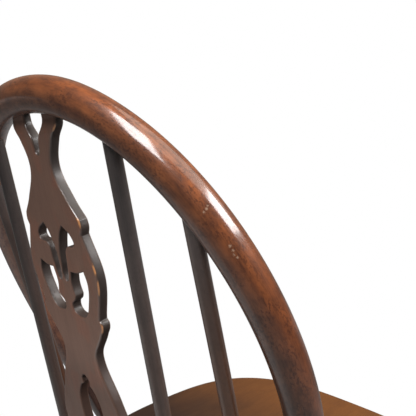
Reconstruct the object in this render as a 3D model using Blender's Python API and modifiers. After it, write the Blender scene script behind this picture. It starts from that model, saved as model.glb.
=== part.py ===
"""Thistle back chair: a hoop-back dining chair of bent, turned and fretted wood.

Metres, +Z up. The chair faces -Y, so its own left is +X. The pieces are laid out from the line between the
bow's feet and hang on one empty, which moves that line so that the origin is on the floor, under the middle
of the chair. A splat size written as a pair is half a width, then a drop below the crown of the bow.
"""
import math

import bmesh
import bpy
from mathutils import Matrix, Vector

CHAIR = "thistle_back_chair"

# Fits
JOINT_GAP = 0.0003            # glue line round every tenon
CUTTER_REACH = 0.015          # how far a cutter runs out past the face it opens

# Seat
SEAT_HEIGHT = 0.440           # floor to the seat's rim
SEAT_THICKNESS = 0.038
SEAT_HALF_WIDTH = 0.2059
SEAT_WIDEST_Y = -0.110        # where the seat is widest
SEAT_FRONT_Y = -0.3001
SEAT_BACK_MARGIN = 0.029      # wood behind the splat's foot
SEAT_FRONT_SQUARENESS = 2.82   # superellipse powers of the two halves of the outline
SEAT_BACK_SQUARENESS = 2.44
SEAT_EDGE_RADIUS = 0.009
SEAT_UNDERCUT = 0.016         # how far the lower edge is shaved in, and how high up
SEAT_UNDERCUT_HEIGHT = 0.018
SEAT_DISH_DEPTH = 0.008
SEAT_DISH_HALF_WIDTH = 0.175
SEAT_DISH_HALF_LENGTH = 0.155
SEAT_DISH_Y = -0.120
SEAT_DISH_SOFTNESS = 1.5      # how gently the dish runs out into the rim

# Bow: one rod bent in a plane that leans back from the line of its feet
BOW_RADIUS = 0.013
BOW_CROWN_RADIUS = 0.0137     # left stouter over the crown, and how far from the middle that holds
BOW_CROWN_FULL = 0.03
BOW_CROWN_END = 0.11
BOW_LEAN = math.radians(23.2)
BOW_RISE = 0.4432             # seat to crown, along the leaning plane
BOW_HALF_WIDTH = 0.1878
BOW_WIDEST_RISE = 0.2385
BOW_FOOT_HALF_WIDTH = 0.135
BOW_FOOT_TOE_IN = math.radians(14.0)
BOW_CROWN_REACH = 0.1005      # how far the bends pull along the rod at crown, shoulder, flank and foot
BOW_SHOULDER_REACH = 0.1261
BOW_FLANK_REACH = 0.075
BOW_FOOT_REACH = 0.072
BOW_TENON_RADIUS = 0.010
BOW_TENON_RISE = 0.010        # straight tenon left standing above the seat
BOW_TAPER_RISE = 0.055        # where the full section is reached

# Wedges that spread the bow's feet from under the seat
WEDGE_LENGTH = 0.020
WEDGE_BUTT = 0.0030
WEDGE_TIP = 0.0010

# Spindles
SPINDLE_SEAT_RADIUS = 0.0061
SPINDLE_BOW_RADIUS = 0.0057
SPINDLE_SEAT_DEPTH = 0.024
SPINDLE_BOW_DEPTH = 0.011
INNER_SPINDLE_FOOT_X = 0.0876
INNER_SPINDLE_FOOT_Y = 0.0886
INNER_SPINDLE_TOP_X = 0.0889
OUTER_SPINDLE_FOOT_X = 0.1334
OUTER_SPINDLE_FOOT_Y = 0.0530
OUTER_SPINDLE_TOP_X = 0.1436

# Splat: outline
SPLAT_THICKNESS = 0.0085
SPLAT_FOOT_Y = 0.0992
SPLAT_FOOT_HALF_WIDTH = 0.030
SPLAT_FOOT_DEPTH = 0.022      # tenon in the seat
SPLAT_FOOT_FLARE_RISE = 0.012
SPLAT_BEND = 0.0008           # how far the top is sprung forward, and how far below the crown that starts
SPLAT_BEND_DROP = 0.115
SPLAT_PRONG_OUTER = 0.0346
SPLAT_PRONG_INNER = 0.0140
SPLAT_PRONG_DEPTH = 0.010     # tenon in the bow
SPLAT_PRONG_TENON_DROP = 0.0178  # where the tenon's straight part starts, just under the bow
SPLAT_PRONG_PARING = 0.0017   # taken off the back to enter the bow, and how far below the crown that starts
SPLAT_PRONG_PARING_DROP = 0.028
SPLAT_PRONG_HIP_DROP = 0.0205
SPLAT_PRONG_CROTCH_DROP = 0.0185
SPLAT_VASE = (0.0525, 0.2870)
SPLAT_VASE_SHOULDER = (0.0402, 0.2490)
SPLAT_WAIST = (0.0257, 0.2120)
SPLAT_LOBE_UNDER = (0.0399, 0.1880)
SPLAT_LOBE = (0.0454, 0.1785)
SPLAT_LOBE_TOP = (0.0448, 0.1750)
SPLAT_LOWER_NOTCH = (0.0428, 0.1730)
SPLAT_BULGE = (0.0521, 0.1385)
SPLAT_UPPER_NOTCH = (0.0412, 0.1043)
SPLAT_SHOULDER_UNDER = (0.0432, 0.0990)
SPLAT_SHOULDER = (0.0422, 0.0925)
SPLAT_SHOULDER_SLOPE = (0.0305, 0.0785)
SPLAT_NECK = (0.0175, 0.0530)
SPLAT_PRONG_SWEEP = (0.0248, 0.0335)
SPLAT_CROTCH_SIDE = (0.0056, 0.0315)
SPLAT_CROTCH_DROP = 0.0445

# Splat: the thistle, each opening beside the middle line and mirrored
THISTLE_TUFT_DROP = 0.0995    # points of the two upper openings
THISTLE_TUFT_HALF = 0.0143
THISTLE_FRAME = (0.0258, 0.1076)
THISTLE_LEAF_TOP = (0.0274, 0.1132)
THISTLE_LEAF_TIP = (0.0146, 0.1174)
THISTLE_LEAF_SIDE = (0.0108, 0.1310)
THISTLE_LEAF_ROOT = (0.0086, 0.1425)
THISTLE_SPIKE_ROOT = (0.0017, 0.1440)
THISTLE_SPIKE_MIDDLE = (0.0018, 0.1315)
THISTLE_SPIKE_TOP = (0.0084, 0.1070)
THISTLE_SLIT_END_DROP = 0.1472
THISTLE_LEAF_UNDER = (0.0138, 0.1376)
THISTLE_LEAF_ARCH = (0.0225, 0.1374)
THISTLE_LEAF_CORNER = (0.0337, 0.1341)
THISTLE_RIM = (0.0361, 0.1440)
THISTLE_RIM_LOWER = (0.0324, 0.1592)
THISTLE_BASE_OUTER = (0.0235, 0.1735)
THISTLE_BASE = (0.0140, 0.1753)
THISTLE_STALK_FOOT = (0.0066, 0.1722)
THISTLE_STALK = (0.0062, 0.1668)
THISTLE_CUP_STEP = (0.0120, 0.1616)
THISTLE_CUP_RIM = (0.0134, 0.1585)
THISTLE_CUP_SIDE = (0.0113, 0.1500)

# Splat: the keyhole below the waist
KEYHOLE_TOP_DROP = 0.2336
KEYHOLE_HEAD = (0.0054, 0.2382)
KEYHOLE_CUSP = (0.0044, 0.2426)
KEYHOLE_SHOULDER = (0.0105, 0.2472)
KEYHOLE_BODY = (0.0169, 0.2655)
KEYHOLE_TAPER = (0.0105, 0.3060)
KEYHOLE_END_DROP = 0.3400

# Legs: axis from the seat's underside to the floor, turned sizes along it
FRONT_LEG_TOP_INSET = 0.057   # in from the seat's side, and back from its front
FRONT_LEG_TOP_SETBACK = 0.088
FRONT_LEG_FOOT_INSET = 0.023
FRONT_LEG_FOOT_SETBACK = 0.041
REAR_LEG_TOP_INSET = 0.102    # in from the seat's side, and ahead of its back
REAR_LEG_TOP_SETBACK = 0.0982
REAR_LEG_FOOT_INSET = 0.055
REAR_LEG_FOOT_OVERHANG = 0.0218  # behind the seat's back
LEG_SOCKET_ROOF = 0.013       # wood left over a leg's socket
LEG_TENON_RADIUS = 0.0108
LEG_MOUTH_RADIUS = 0.0125
LEG_NECK_RADIUS = 0.0160
LEG_NECK_DROP = 0.092
LEG_GROOVE_RADIUS = 0.0132
LEG_RING_RADIUS = 0.0178
LEG_RING_HALF_HEIGHT = 0.0055
LEG_UPPER_RING_DROP = 0.104
LEG_VASE_RADIUS = 0.0190
LEG_VASE_DROP = 0.212
LEG_LOWER_RING_DROP = 0.292
LEG_ANKLE_RADIUS = 0.0155
LEG_ANKLE_DROP = 0.318
LEG_FOOT_RADIUS = 0.0110

# Stretchers
STRETCHER_HEIGHT = 0.188      # above the floor, at the legs
STRETCHER_END_RADIUS = 0.0080
STRETCHER_MIDDLE_RADIUS = 0.0135
STRETCHER_TENON = 0.026       # straight end
STRETCHER_END_SETBACK = 0.005  # from the axis of the piece it enters
CROSS_STRETCHER_END_RADIUS = 0.0068
CROSS_STRETCHER_MIDDLE_RADIUS = 0.0130

# Facets
SEAT_SEGMENTS = 60
SEAT_TOP_RINGS = 7
EDGE_STEPS = 4
BOW_SIDE_STEPS = 13
BOW_BEVEL_STEPS = 7
ROUND_SIDES = 20
LEG_SIDES = 16
TURNING_STEPS = 4
CURVE_STEPS = 4
SEARCH_STEPS = 40
WELD_DISTANCE = 0.00001
SHARP_ANGLE = math.radians(35.0)

# Finish, as seen on the real wood
WOOD_COLOURS = {
    "bow": (0.165, 0.052, 0.024, 1.0),
    "splat": (0.110, 0.064, 0.048, 1.0),
    "spindle": (0.062, 0.045, 0.038, 1.0),
    "seat": (0.205, 0.105, 0.048, 1.0),
    "leg": (0.130, 0.055, 0.030, 1.0),
    "stretcher": (0.120, 0.052, 0.030, 1.0),
    "wedge": (0.300, 0.190, 0.110, 1.0),
}
WOOD_ROUGHNESS = {
    "bow": 0.24, "splat": 0.42, "spindle": 0.34, "seat": 0.32, "leg": 0.34, "stretcher": 0.34, "wedge": 0.60,
}

SIDES = {"left": 1, "right": -1}
HANDLES = {"corner": "VECTOR", "smooth": "AUTO", "upright": "FREE"}
UPRIGHT_PULL = 0.36           # share of the way to the next point that an upright bend keeps straight
UNDERSIDE = SEAT_HEIGHT - SEAT_THICKNESS


# Scene

def clear_scene():
    for thing in list(bpy.data.objects):
        bpy.data.objects.remove(thing, do_unlink=True)


def new_collection(name, parent=None):
    collection = bpy.data.collections.new(name)
    (parent or bpy.context.scene.collection).children.link(collection)
    return collection


def wood(kind):
    material = bpy.data.materials.get(kind) or bpy.data.materials.new(kind)
    material.use_nodes = True
    shader = material.node_tree.nodes["Principled BSDF"]
    shader.inputs["Base Color"].default_value = WOOD_COLOURS[kind]
    shader.inputs["Roughness"].default_value = WOOD_ROUGHNESS[kind]
    shader.inputs["Metallic"].default_value = 0.0
    return material


class Bench:
    """The chair's empty, its collection of pieces, and a collection of cutters for each piece that is cut."""

    def __init__(self, origin_y):
        self.parts = new_collection(CHAIR)
        self.cutters = new_collection(CHAIR + "_cutters")
        self.root = bpy.data.objects.new(CHAIR, None)
        self.root.location = (0.0, origin_y, 0.0)
        self.parts.objects.link(self.root)

    def add_part(self, name, mesh, kind, matrix=Matrix.Identity(4)):
        part = bpy.data.objects.new(name, mesh)
        mesh.materials.append(wood(kind))
        self.parts.objects.link(part)
        part.parent = self.root
        part.matrix_basis = matrix
        return part

    def add_cutter(self, target, mesh, matrix=Matrix.Identity(4)):
        set_name = target + "_cutters"
        cutter_set = bpy.data.collections.get(set_name) or new_collection(set_name, self.cutters)
        cutter = bpy.data.objects.new(target + "_cutter", mesh)
        cutter_set.objects.link(cutter)
        cutter.parent = self.root
        cutter.matrix_basis = matrix
        cutter.hide_render = True
        cutter.display_type = "WIRE"

    def cut(self, part):
        boolean = part.modifiers.new("cut", "BOOLEAN")
        boolean.operation = "DIFFERENCE"
        boolean.operand_type = "COLLECTION"
        boolean.collection = bpy.data.collections[part.name + "_cutters"]


# Shapes

def finish_mesh(mesh):
    mesh.shade_smooth()
    mesh.set_sharp_from_angle(angle=SHARP_ANGLE)
    return mesh


def box_mesh(name, low, high):
    bm = bmesh.new()
    bmesh.ops.create_cube(bm, size=1.0)
    size = Vector(high) - Vector(low)
    middle = (Vector(high) + Vector(low)) / 2.0
    bmesh.ops.transform(bm, matrix=Matrix.Translation(middle) @ Matrix.Diagonal((*size, 1.0)), verts=bm.verts)
    mesh = bpy.data.meshes.new(name)
    bm.to_mesh(mesh)
    bm.free()
    return mesh


def rod_mesh(name, start_radius, end_radius, length, sides=ROUND_SIDES):
    """A straight taper from the local origin along +Z."""
    bm = bmesh.new()
    bmesh.ops.create_cone(bm, cap_ends=True, segments=sides, radius1=start_radius, radius2=end_radius,
                          depth=length)
    bmesh.ops.translate(bm, vec=(0.0, 0.0, length / 2.0), verts=bm.verts)
    mesh = bpy.data.meshes.new(name)
    bm.to_mesh(mesh)
    bm.free()
    return finish_mesh(mesh)


def profile_mesh(name, profile):
    """An open profile in the XZ plane, listed from its top to its bottom as (radius, height)."""
    bm = bmesh.new()
    points = [bm.verts.new((radius, 0.0, height)) for radius, height in profile]
    for upper, lower in zip(points, points[1:]):
        bm.edges.new((upper, lower))
    mesh = bpy.data.meshes.new(name)
    bm.to_mesh(mesh)
    bm.free()
    return mesh


def turn(part, sides):
    screw = part.modifiers.new("turn", "SCREW")
    screw.axis = "Z"
    screw.steps = sides
    screw.render_steps = sides
    screw.use_merge_vertices = True
    screw.merge_threshold = WELD_DISTANCE
    screw.use_smooth_shade = True


def loft_mesh(name, rings):
    """Skins a stack of closed rings that have the same number of points, and caps both ends."""
    bm = bmesh.new()
    loops = [[bm.verts.new(point) for point in ring] for ring in rings]
    for upper, lower in zip(loops, loops[1:]):
        for i in range(len(upper)):
            bm.faces.new((upper[i - 1], lower[i - 1], lower[i], upper[i]))
    bm.faces.new(loops[0])
    bm.faces.new(list(reversed(loops[-1])))
    bmesh.ops.recalc_face_normals(bm, faces=bm.faces)
    mesh = bpy.data.meshes.new(name)
    bm.to_mesh(mesh)
    bm.free()
    return finish_mesh(mesh)


def mesh_from_curve(name, curve):
    """The closed mesh of a curve, with its caps welded on."""
    holder = bpy.data.objects.new(name, curve)
    bpy.context.scene.collection.objects.link(holder)
    evaluated = holder.evaluated_get(bpy.context.evaluated_depsgraph_get())
    mesh = bpy.data.meshes.new_from_object(evaluated)
    bpy.data.objects.remove(holder, do_unlink=True)
    bm = bmesh.new()
    bm.from_mesh(mesh)
    bmesh.ops.remove_doubles(bm, verts=bm.verts, dist=WELD_DISTANCE)
    bmesh.ops.recalc_face_normals(bm, faces=bm.faces)
    bm.to_mesh(mesh)
    bm.free()
    return finish_mesh(mesh)


def add_outline(curve, points):
    """One closed Bezier outline. A point is (x, y, bend): a corner, a smooth bend or an upright one."""
    spline = curve.splines.new("BEZIER")
    spline.bezier_points.add(len(points) - 1)
    spline.use_cyclic_u = True
    for i, (x, y, bend) in enumerate(points):
        knot = spline.bezier_points[i]
        knot.co = (x, y, 0.0)
        knot.handle_left_type = HANDLES[bend]
        knot.handle_right_type = HANDLES[bend]
        if bend == "upright":
            before, after = points[i - 1], points[(i + 1) % len(points)]
            knot.handle_left = (x, y + (before[1] - y) * UPRIGHT_PULL, 0.0)
            knot.handle_right = (x, y + (after[1] - y) * UPRIGHT_PULL, 0.0)


def mirrored(points):
    return [(-x, y, bend) for x, y, bend in reversed(points)]


def along(start, end):
    """Matrix that carries the local +Z axis from one point towards another."""
    direction = Vector(end) - Vector(start)
    return Matrix.Translation(Vector(start)) @ direction.to_track_quat("Z", "Y").to_matrix().to_4x4()


def smooth_step(fraction):
    fraction = min(max(fraction, 0.0), 1.0)
    return fraction * fraction * (3.0 - 2.0 * fraction)


def eased(stations, steps=TURNING_STEPS):
    """Radii that swell and narrow smoothly through (distance, radius) stations."""
    profile = [stations[0]]
    for (near, near_radius), (far, far_radius) in zip(stations, stations[1:]):
        count = 1 if near_radius == far_radius else steps
        for i in range(1, count + 1):
            share = i / count
            radius = near_radius + smooth_step(share) * (far_radius - near_radius)
            profile.append((near + share * (far - near), radius))
    return profile


def bezier(a, b, c, d, t):
    u = 1.0 - t
    return a * u ** 3 + b * 3 * u * u * t + c * 3 * u * t * t + d * t ** 3


# Bow geometry: points (across, up the leaning plane)

BOW_FOOT = Vector((BOW_FOOT_HALF_WIDTH, 0.0))
BOW_FOOT_DIRECTION = Vector((math.sin(BOW_FOOT_TOE_IN), math.cos(BOW_FOOT_TOE_IN)))
BOW_WIDEST = Vector((BOW_HALF_WIDTH, BOW_WIDEST_RISE))
BOW_CROWN = Vector((0.0, BOW_RISE))
BOW_FRAME = Matrix.Translation((0.0, 0.0, SEAT_HEIGHT)) @ Matrix.Rotation(math.pi / 2.0 - BOW_LEAN, 4, "X")


def bow_flank(t):
    leave = BOW_FOOT + BOW_FOOT_DIRECTION * BOW_FOOT_REACH
    arrive = BOW_WIDEST - Vector((0.0, BOW_FLANK_REACH))
    return bezier(BOW_FOOT, leave, arrive, BOW_WIDEST, t)


def bow_shoulder(t):
    leave = BOW_WIDEST + Vector((0.0, BOW_SHOULDER_REACH))
    arrive = BOW_CROWN + Vector((BOW_CROWN_REACH, 0.0))
    return bezier(BOW_WIDEST, leave, arrive, BOW_CROWN, t)


def bow_at(half_width):
    """The point on the shoulder of the bow that lies this far from the middle."""
    low, high = 0.0, 1.0
    for _ in range(SEARCH_STEPS):
        middle = (low + high) / 2.0
        if bow_shoulder(middle).x > half_width:
            low = middle
        else:
            high = middle
    return bow_shoulder(low)


def on_bow_plane(point, side=1.0):
    return BOW_FRAME @ Vector((side * point.x, point.y, 0.0))


def bow_foot_direction(side):
    return on_bow_plane(BOW_FOOT + BOW_FOOT_DIRECTION, side) - on_bow_plane(BOW_FOOT, side)


def bow_foot_at(height, side):
    """Where the axis of a bow foot passes a height above the floor."""
    foot = on_bow_plane(BOW_FOOT, side)
    direction = bow_foot_direction(side)
    return foot + direction * ((height - foot.z) / direction.z)


def bow_radius(point):
    """A tenon at the foot, then the full section, a little stouter over the crown."""
    share = (point.y - BOW_TENON_RISE) / (BOW_TAPER_RISE - BOW_TENON_RISE)
    radius = BOW_TENON_RADIUS + (BOW_RADIUS - BOW_TENON_RADIUS) * smooth_step(share)
    if point.y > BOW_WIDEST_RISE:
        crown = (BOW_CROWN_END - abs(point.x)) / (BOW_CROWN_END - BOW_CROWN_FULL)
        radius += (BOW_CROWN_RADIUS - BOW_RADIUS) * smooth_step(crown)
    return radius


def make_bow(bench):
    below = (bow_foot_at(SEAT_HEIGHT, 1.0) - bow_foot_at(UNDERSIDE - CUTTER_REACH, 1.0)).length
    half = [BOW_FOOT - BOW_FOOT_DIRECTION * below]
    half += [bow_flank(i / BOW_SIDE_STEPS) for i in range(BOW_SIDE_STEPS)]
    half += [bow_shoulder(i / BOW_SIDE_STEPS) for i in range(BOW_SIDE_STEPS)]
    whole = half + [BOW_CROWN] + [Vector((-point.x, point.y)) for point in reversed(half)]
    curve = bpy.data.curves.new("bow", "CURVE")
    curve.dimensions = "3D"
    curve.bevel_depth = BOW_RADIUS
    curve.bevel_resolution = BOW_BEVEL_STEPS
    curve.use_fill_caps = True
    spline = curve.splines.new("POLY")
    spline.points.add(len(whole) - 1)
    for knot, point in zip(spline.points, whole):
        knot.co = (point.x, point.y, 0.0, 1.0)
        knot.radius = bow_radius(point) / BOW_RADIUS
    bow = bench.add_part("bow", mesh_from_curve("bow", curve), "bow", BOW_FRAME)
    bench.add_cutter("bow", underside_trim_mesh())
    bench.cut(bow)


def underside_trim_mesh():
    """Everything below the seat, where tenons and wedges are cut off flush."""
    reach = BOW_HALF_WIDTH
    return box_mesh("underside_trim", (-reach, -reach, 0.0), (reach, reach, UNDERSIDE))


# Bow feet: holes through the seat, and the wedges that lock them

def wedge_mesh(gap=0.0, width=None):
    """A wedge along +Z from its butt, grown all round by a gap."""
    width = width or 2.0 * (BOW_TENON_RADIUS - JOINT_GAP)
    low = (-WEDGE_BUTT / 2.0 - gap, -width / 2.0, -CUTTER_REACH)
    high = (WEDGE_BUTT / 2.0 + gap, width / 2.0, WEDGE_LENGTH + gap)
    mesh = box_mesh("wedge", low, high)
    tip_scale = (WEDGE_TIP / 2.0 + gap) / high[0]
    for corner in mesh.vertices:
        if corner.co.z > 0.0:
            corner.co.x *= tip_scale
    return mesh


def make_bow_feet(bench):
    for name, side in SIDES.items():
        mouth = bow_foot_at(SEAT_HEIGHT + CUTTER_REACH, side)
        exit_point = bow_foot_at(UNDERSIDE, side)
        below = bow_foot_at(UNDERSIDE - CUTTER_REACH, side)
        hole_radius = BOW_TENON_RADIUS + JOINT_GAP
        hole = rod_mesh("bow_hole", hole_radius, hole_radius, (mouth - below).length)
        bench.add_cutter("seat", hole, along(below, mouth))
        upright = along(exit_point, mouth)
        kerf_width = 2.0 * (BOW_TENON_RADIUS + CUTTER_REACH)
        bench.add_cutter("bow", wedge_mesh(JOINT_GAP, kerf_width), upright)
        wedge_name = "bow_wedge_" + name
        wedge = bench.add_part(wedge_name, wedge_mesh(), "wedge", upright)
        bench.add_cutter(wedge_name, underside_trim_mesh())
        bench.cut(wedge)


# Spindles

def make_spindle(bench, name, foot, top):
    """A stick from its blind socket in the seat to its blind socket in the bow."""
    axis = (top - foot).normalized()
    start = foot - axis * SPINDLE_SEAT_DEPTH
    end = top - axis * (BOW_RADIUS - SPINDLE_BOW_DEPTH)
    length = (end - start).length
    frame = along(start, end)
    bench.add_part(name, rod_mesh(name, SPINDLE_SEAT_RADIUS, SPINDLE_BOW_RADIUS, length), "spindle", frame)
    socket = rod_mesh(name + "_socket", SPINDLE_SEAT_RADIUS + JOINT_GAP, SPINDLE_BOW_RADIUS + JOINT_GAP,
                      length + 2.0 * JOINT_GAP)
    socket_frame = along(start - axis * JOINT_GAP, end)
    bench.add_cutter("seat", socket, socket_frame)
    bench.add_cutter("bow", socket, socket_frame)


def make_spindles(bench):
    for name, side in SIDES.items():
        inner_foot = Vector((side * INNER_SPINDLE_FOOT_X, INNER_SPINDLE_FOOT_Y, SEAT_HEIGHT))
        outer_foot = Vector((side * OUTER_SPINDLE_FOOT_X, OUTER_SPINDLE_FOOT_Y, SEAT_HEIGHT))
        inner_top = on_bow_plane(bow_at(INNER_SPINDLE_TOP_X), side)
        outer_top = on_bow_plane(bow_at(OUTER_SPINDLE_TOP_X), side)
        make_spindle(bench, "spindle_inner_" + name, inner_foot, inner_top)
        make_spindle(bench, "spindle_outer_" + name, outer_foot, outer_top)


# Splat

SPLAT_FOOT_POINT = Vector((0.0, SPLAT_FOOT_Y, SEAT_HEIGHT))
SPLAT_CROWN_POINT = on_bow_plane(BOW_CROWN)
SPLAT_LENGTH = (SPLAT_CROWN_POINT - SPLAT_FOOT_POINT).length
SPLAT_LEAN = math.atan2(SPLAT_CROWN_POINT.y - SPLAT_FOOT_POINT.y, SPLAT_CROWN_POINT.z - SPLAT_FOOT_POINT.z)
SPLAT_FRAME = Matrix.Translation(SPLAT_FOOT_POINT) @ Matrix.Rotation(math.pi / 2.0 - SPLAT_LEAN, 4, "X")
SPLAT_PRONG_TOP = SPLAT_LENGTH - BOW_RADIUS + SPLAT_PRONG_DEPTH


def smooth(station):
    return (station[0], SPLAT_LENGTH - station[1], "smooth")


def corner(station):
    return (station[0], SPLAT_LENGTH - station[1], "corner")


def upright(station):
    return (station[0], SPLAT_LENGTH - station[1], "upright")


def splat_outline():
    """The right-hand edge of the board from foot to crotch, then its mirror image."""
    half = [
        (SPLAT_FOOT_HALF_WIDTH, -SPLAT_FOOT_DEPTH, "corner"),
        (SPLAT_FOOT_HALF_WIDTH, SPLAT_FOOT_FLARE_RISE, "upright"),
        upright(SPLAT_VASE),
        smooth(SPLAT_VASE_SHOULDER),
        upright(SPLAT_WAIST),
        smooth(SPLAT_LOBE_UNDER),
        smooth(SPLAT_LOBE),
        smooth(SPLAT_LOBE_TOP),
        corner(SPLAT_LOWER_NOTCH),
        upright(SPLAT_BULGE),
        corner(SPLAT_UPPER_NOTCH),
        smooth(SPLAT_SHOULDER_UNDER),
        corner(SPLAT_SHOULDER),
        smooth(SPLAT_SHOULDER_SLOPE),
        upright(SPLAT_NECK),
        smooth(SPLAT_PRONG_SWEEP),
        upright((SPLAT_PRONG_OUTER, SPLAT_PRONG_HIP_DROP)),
        (SPLAT_PRONG_OUTER, SPLAT_PRONG_TOP, "corner"),
        (SPLAT_PRONG_INNER, SPLAT_PRONG_TOP, "corner"),
        upright((SPLAT_PRONG_INNER, SPLAT_PRONG_CROTCH_DROP)),
        smooth(SPLAT_CROTCH_SIDE),
    ]
    return half + [smooth((0.0, SPLAT_CROTCH_DROP))] + mirrored(half)


def thistle_upper_opening():
    """The opening between the tuft's spike, a leaf and the frame of the board."""
    return [
        corner((THISTLE_TUFT_HALF, THISTLE_TUFT_DROP)),
        smooth(THISTLE_FRAME),
        smooth(THISTLE_LEAF_TOP),
        smooth(THISTLE_LEAF_TIP),
        smooth(THISTLE_LEAF_SIDE),
        smooth(THISTLE_LEAF_ROOT),
        smooth(((THISTLE_LEAF_ROOT[0] + THISTLE_SPIKE_ROOT[0]) / 2.0, THISTLE_SLIT_END_DROP)),
        smooth(THISTLE_SPIKE_ROOT),
        upright(THISTLE_SPIKE_MIDDLE),
        smooth(THISTLE_SPIKE_TOP),
    ]


def thistle_lower_opening():
    """The opening between a leaf, the flower's cup and stalk, and the frame of the board."""
    return [
        corner(THISTLE_LEAF_UNDER),
        smooth(THISTLE_LEAF_ARCH),
        corner(THISTLE_LEAF_CORNER),
        upright(THISTLE_RIM),
        smooth(THISTLE_RIM_LOWER),
        smooth(THISTLE_BASE_OUTER),
        smooth(THISTLE_BASE),
        smooth(THISTLE_STALK_FOOT),
        smooth(THISTLE_STALK),
        smooth(THISTLE_CUP_STEP),
        corner(THISTLE_CUP_RIM),
        smooth(THISTLE_CUP_SIDE),
    ]


def keyhole_opening():
    half = [
        upright(KEYHOLE_HEAD),
        corner(KEYHOLE_CUSP),
        smooth(KEYHOLE_SHOULDER),
        upright(KEYHOLE_BODY),
        smooth(KEYHOLE_TAPER),
    ]
    top = smooth((0.0, KEYHOLE_TOP_DROP))
    end = smooth((0.0, KEYHOLE_END_DROP))
    return [top] + half + [end] + mirrored(half)


def splat_bend(rise):
    """How far the board is sprung forward at a height above its foot."""
    start = SPLAT_LENGTH - SPLAT_BEND_DROP
    share = (rise - start) / (SPLAT_BEND_DROP - SPLAT_PRONG_TENON_DROP)
    return SPLAT_BEND * min(max(share, 0.0), 1.0) ** 2


def prong_paring(rise):
    """How much is taken off the back of a prong at a height above the board's foot."""
    start = SPLAT_LENGTH - SPLAT_PRONG_PARING_DROP
    share = (rise - start) / (SPLAT_PRONG_PARING_DROP - SPLAT_PRONG_TENON_DROP)
    return SPLAT_PRONG_PARING * min(max(share, 0.0), 1.0)


def bend_board(mesh):
    for point in mesh.vertices:
        behind = point.co.z < 0.0
        point.co.z += splat_bend(point.co.y)
        if behind:
            point.co.z += prong_paring(point.co.y)
    return finish_mesh(mesh)


def make_splat(bench):
    curve = bpy.data.curves.new("splat", "CURVE")
    curve.dimensions = "2D"
    curve.fill_mode = "BOTH"
    curve.extrude = SPLAT_THICKNESS / 2.0
    curve.resolution_u = CURVE_STEPS
    add_outline(curve, splat_outline())
    for opening in (thistle_upper_opening(), thistle_lower_opening()):
        add_outline(curve, opening)
        add_outline(curve, mirrored(opening))
    add_outline(curve, keyhole_opening())
    board = bend_board(mesh_from_curve("splat", curve))
    bench.add_part("splat", board, "splat", SPLAT_FRAME)
    make_splat_mortices(bench)


def make_splat_mortices(bench):
    half_slot = SPLAT_THICKNESS / 2.0 + JOINT_GAP
    foot_low = (-SPLAT_FOOT_HALF_WIDTH - JOINT_GAP, -SPLAT_FOOT_DEPTH - JOINT_GAP, -half_slot)
    foot_high = (SPLAT_FOOT_HALF_WIDTH + JOINT_GAP, CUTTER_REACH, half_slot)
    bench.add_cutter("seat", box_mesh("splat_foot_mortice", foot_low, foot_high), SPLAT_FRAME)
    behind = splat_bend(SPLAT_PRONG_TOP) + prong_paring(SPLAT_PRONG_TOP) - half_slot
    ahead = splat_bend(SPLAT_PRONG_TOP) + half_slot
    for side in SIDES.values():
        across = sorted((side * (SPLAT_PRONG_INNER - JOINT_GAP), side * (SPLAT_PRONG_OUTER + JOINT_GAP)))
        low = (across[0], SPLAT_LENGTH - SPLAT_PRONG_TENON_DROP, behind)
        high = (across[1], SPLAT_PRONG_TOP + JOINT_GAP, ahead)
        bench.add_cutter("bow", box_mesh("prong_mortice", low, high), SPLAT_FRAME)


# Seat

SEAT_BACK_Y = SPLAT_FOOT_Y + SEAT_BACK_MARGIN


def seat_edge(angle):
    """The point on the seat's outline at an angle round its widest line, and the outward normal there."""
    across, along_y = math.cos(angle), math.sin(angle)
    if along_y > 0.0:
        length, power = SEAT_BACK_Y - SEAT_WIDEST_Y, SEAT_BACK_SQUARENESS
    else:
        length, power = SEAT_WIDEST_Y - SEAT_FRONT_Y, SEAT_FRONT_SQUARENESS
    across_share, length_share = abs(across) / SEAT_HALF_WIDTH, abs(along_y) / length
    reach = (across_share ** power + length_share ** power) ** (-1.0 / power)
    normal = Vector((math.copysign(across_share ** (power - 1.0) / SEAT_HALF_WIDTH, across),
                     math.copysign(length_share ** (power - 1.0) / length, along_y)))
    return Vector((across * reach, SEAT_WIDEST_Y + along_y * reach)), normal.normalized()


def seat_ring(inset, height, scale=1.0):
    ring = []
    centre = Vector((0.0, SEAT_WIDEST_Y))
    for i in range(SEAT_SEGMENTS):
        edge, normal = seat_edge(2.0 * math.pi * i / SEAT_SEGMENTS)
        point = centre + (edge - normal * inset - centre) * scale
        ring.append(Vector((point.x, point.y, height)))
    return ring


def dish_depth(point):
    across = point.x / SEAT_DISH_HALF_WIDTH
    length = (point.y - SEAT_DISH_Y) / SEAT_DISH_HALF_LENGTH
    return SEAT_DISH_DEPTH * max(0.0, 1.0 - across * across - length * length) ** SEAT_DISH_SOFTNESS


def make_seat(bench):
    rings = []
    for i in range(1, SEAT_TOP_RINGS + 1):
        rings.append(seat_ring(SEAT_EDGE_RADIUS, SEAT_HEIGHT, i / SEAT_TOP_RINGS))
    for ring in rings:
        for point in ring:
            point.z -= dish_depth(point)
    for i in range(1, EDGE_STEPS + 1):
        turn_angle = math.pi / 2.0 * i / EDGE_STEPS
        inset = SEAT_EDGE_RADIUS * (1.0 - math.sin(turn_angle))
        rings.append(seat_ring(inset, SEAT_HEIGHT - SEAT_EDGE_RADIUS * (1.0 - math.cos(turn_angle))))
    rings.append(seat_ring(0.0, UNDERSIDE + SEAT_UNDERCUT_HEIGHT))
    rings.append(seat_ring(SEAT_UNDERCUT, UNDERSIDE))
    seat = bench.add_part("seat", loft_mesh("seat", rings), "seat")
    bench.cut(seat)


# Legs

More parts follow.
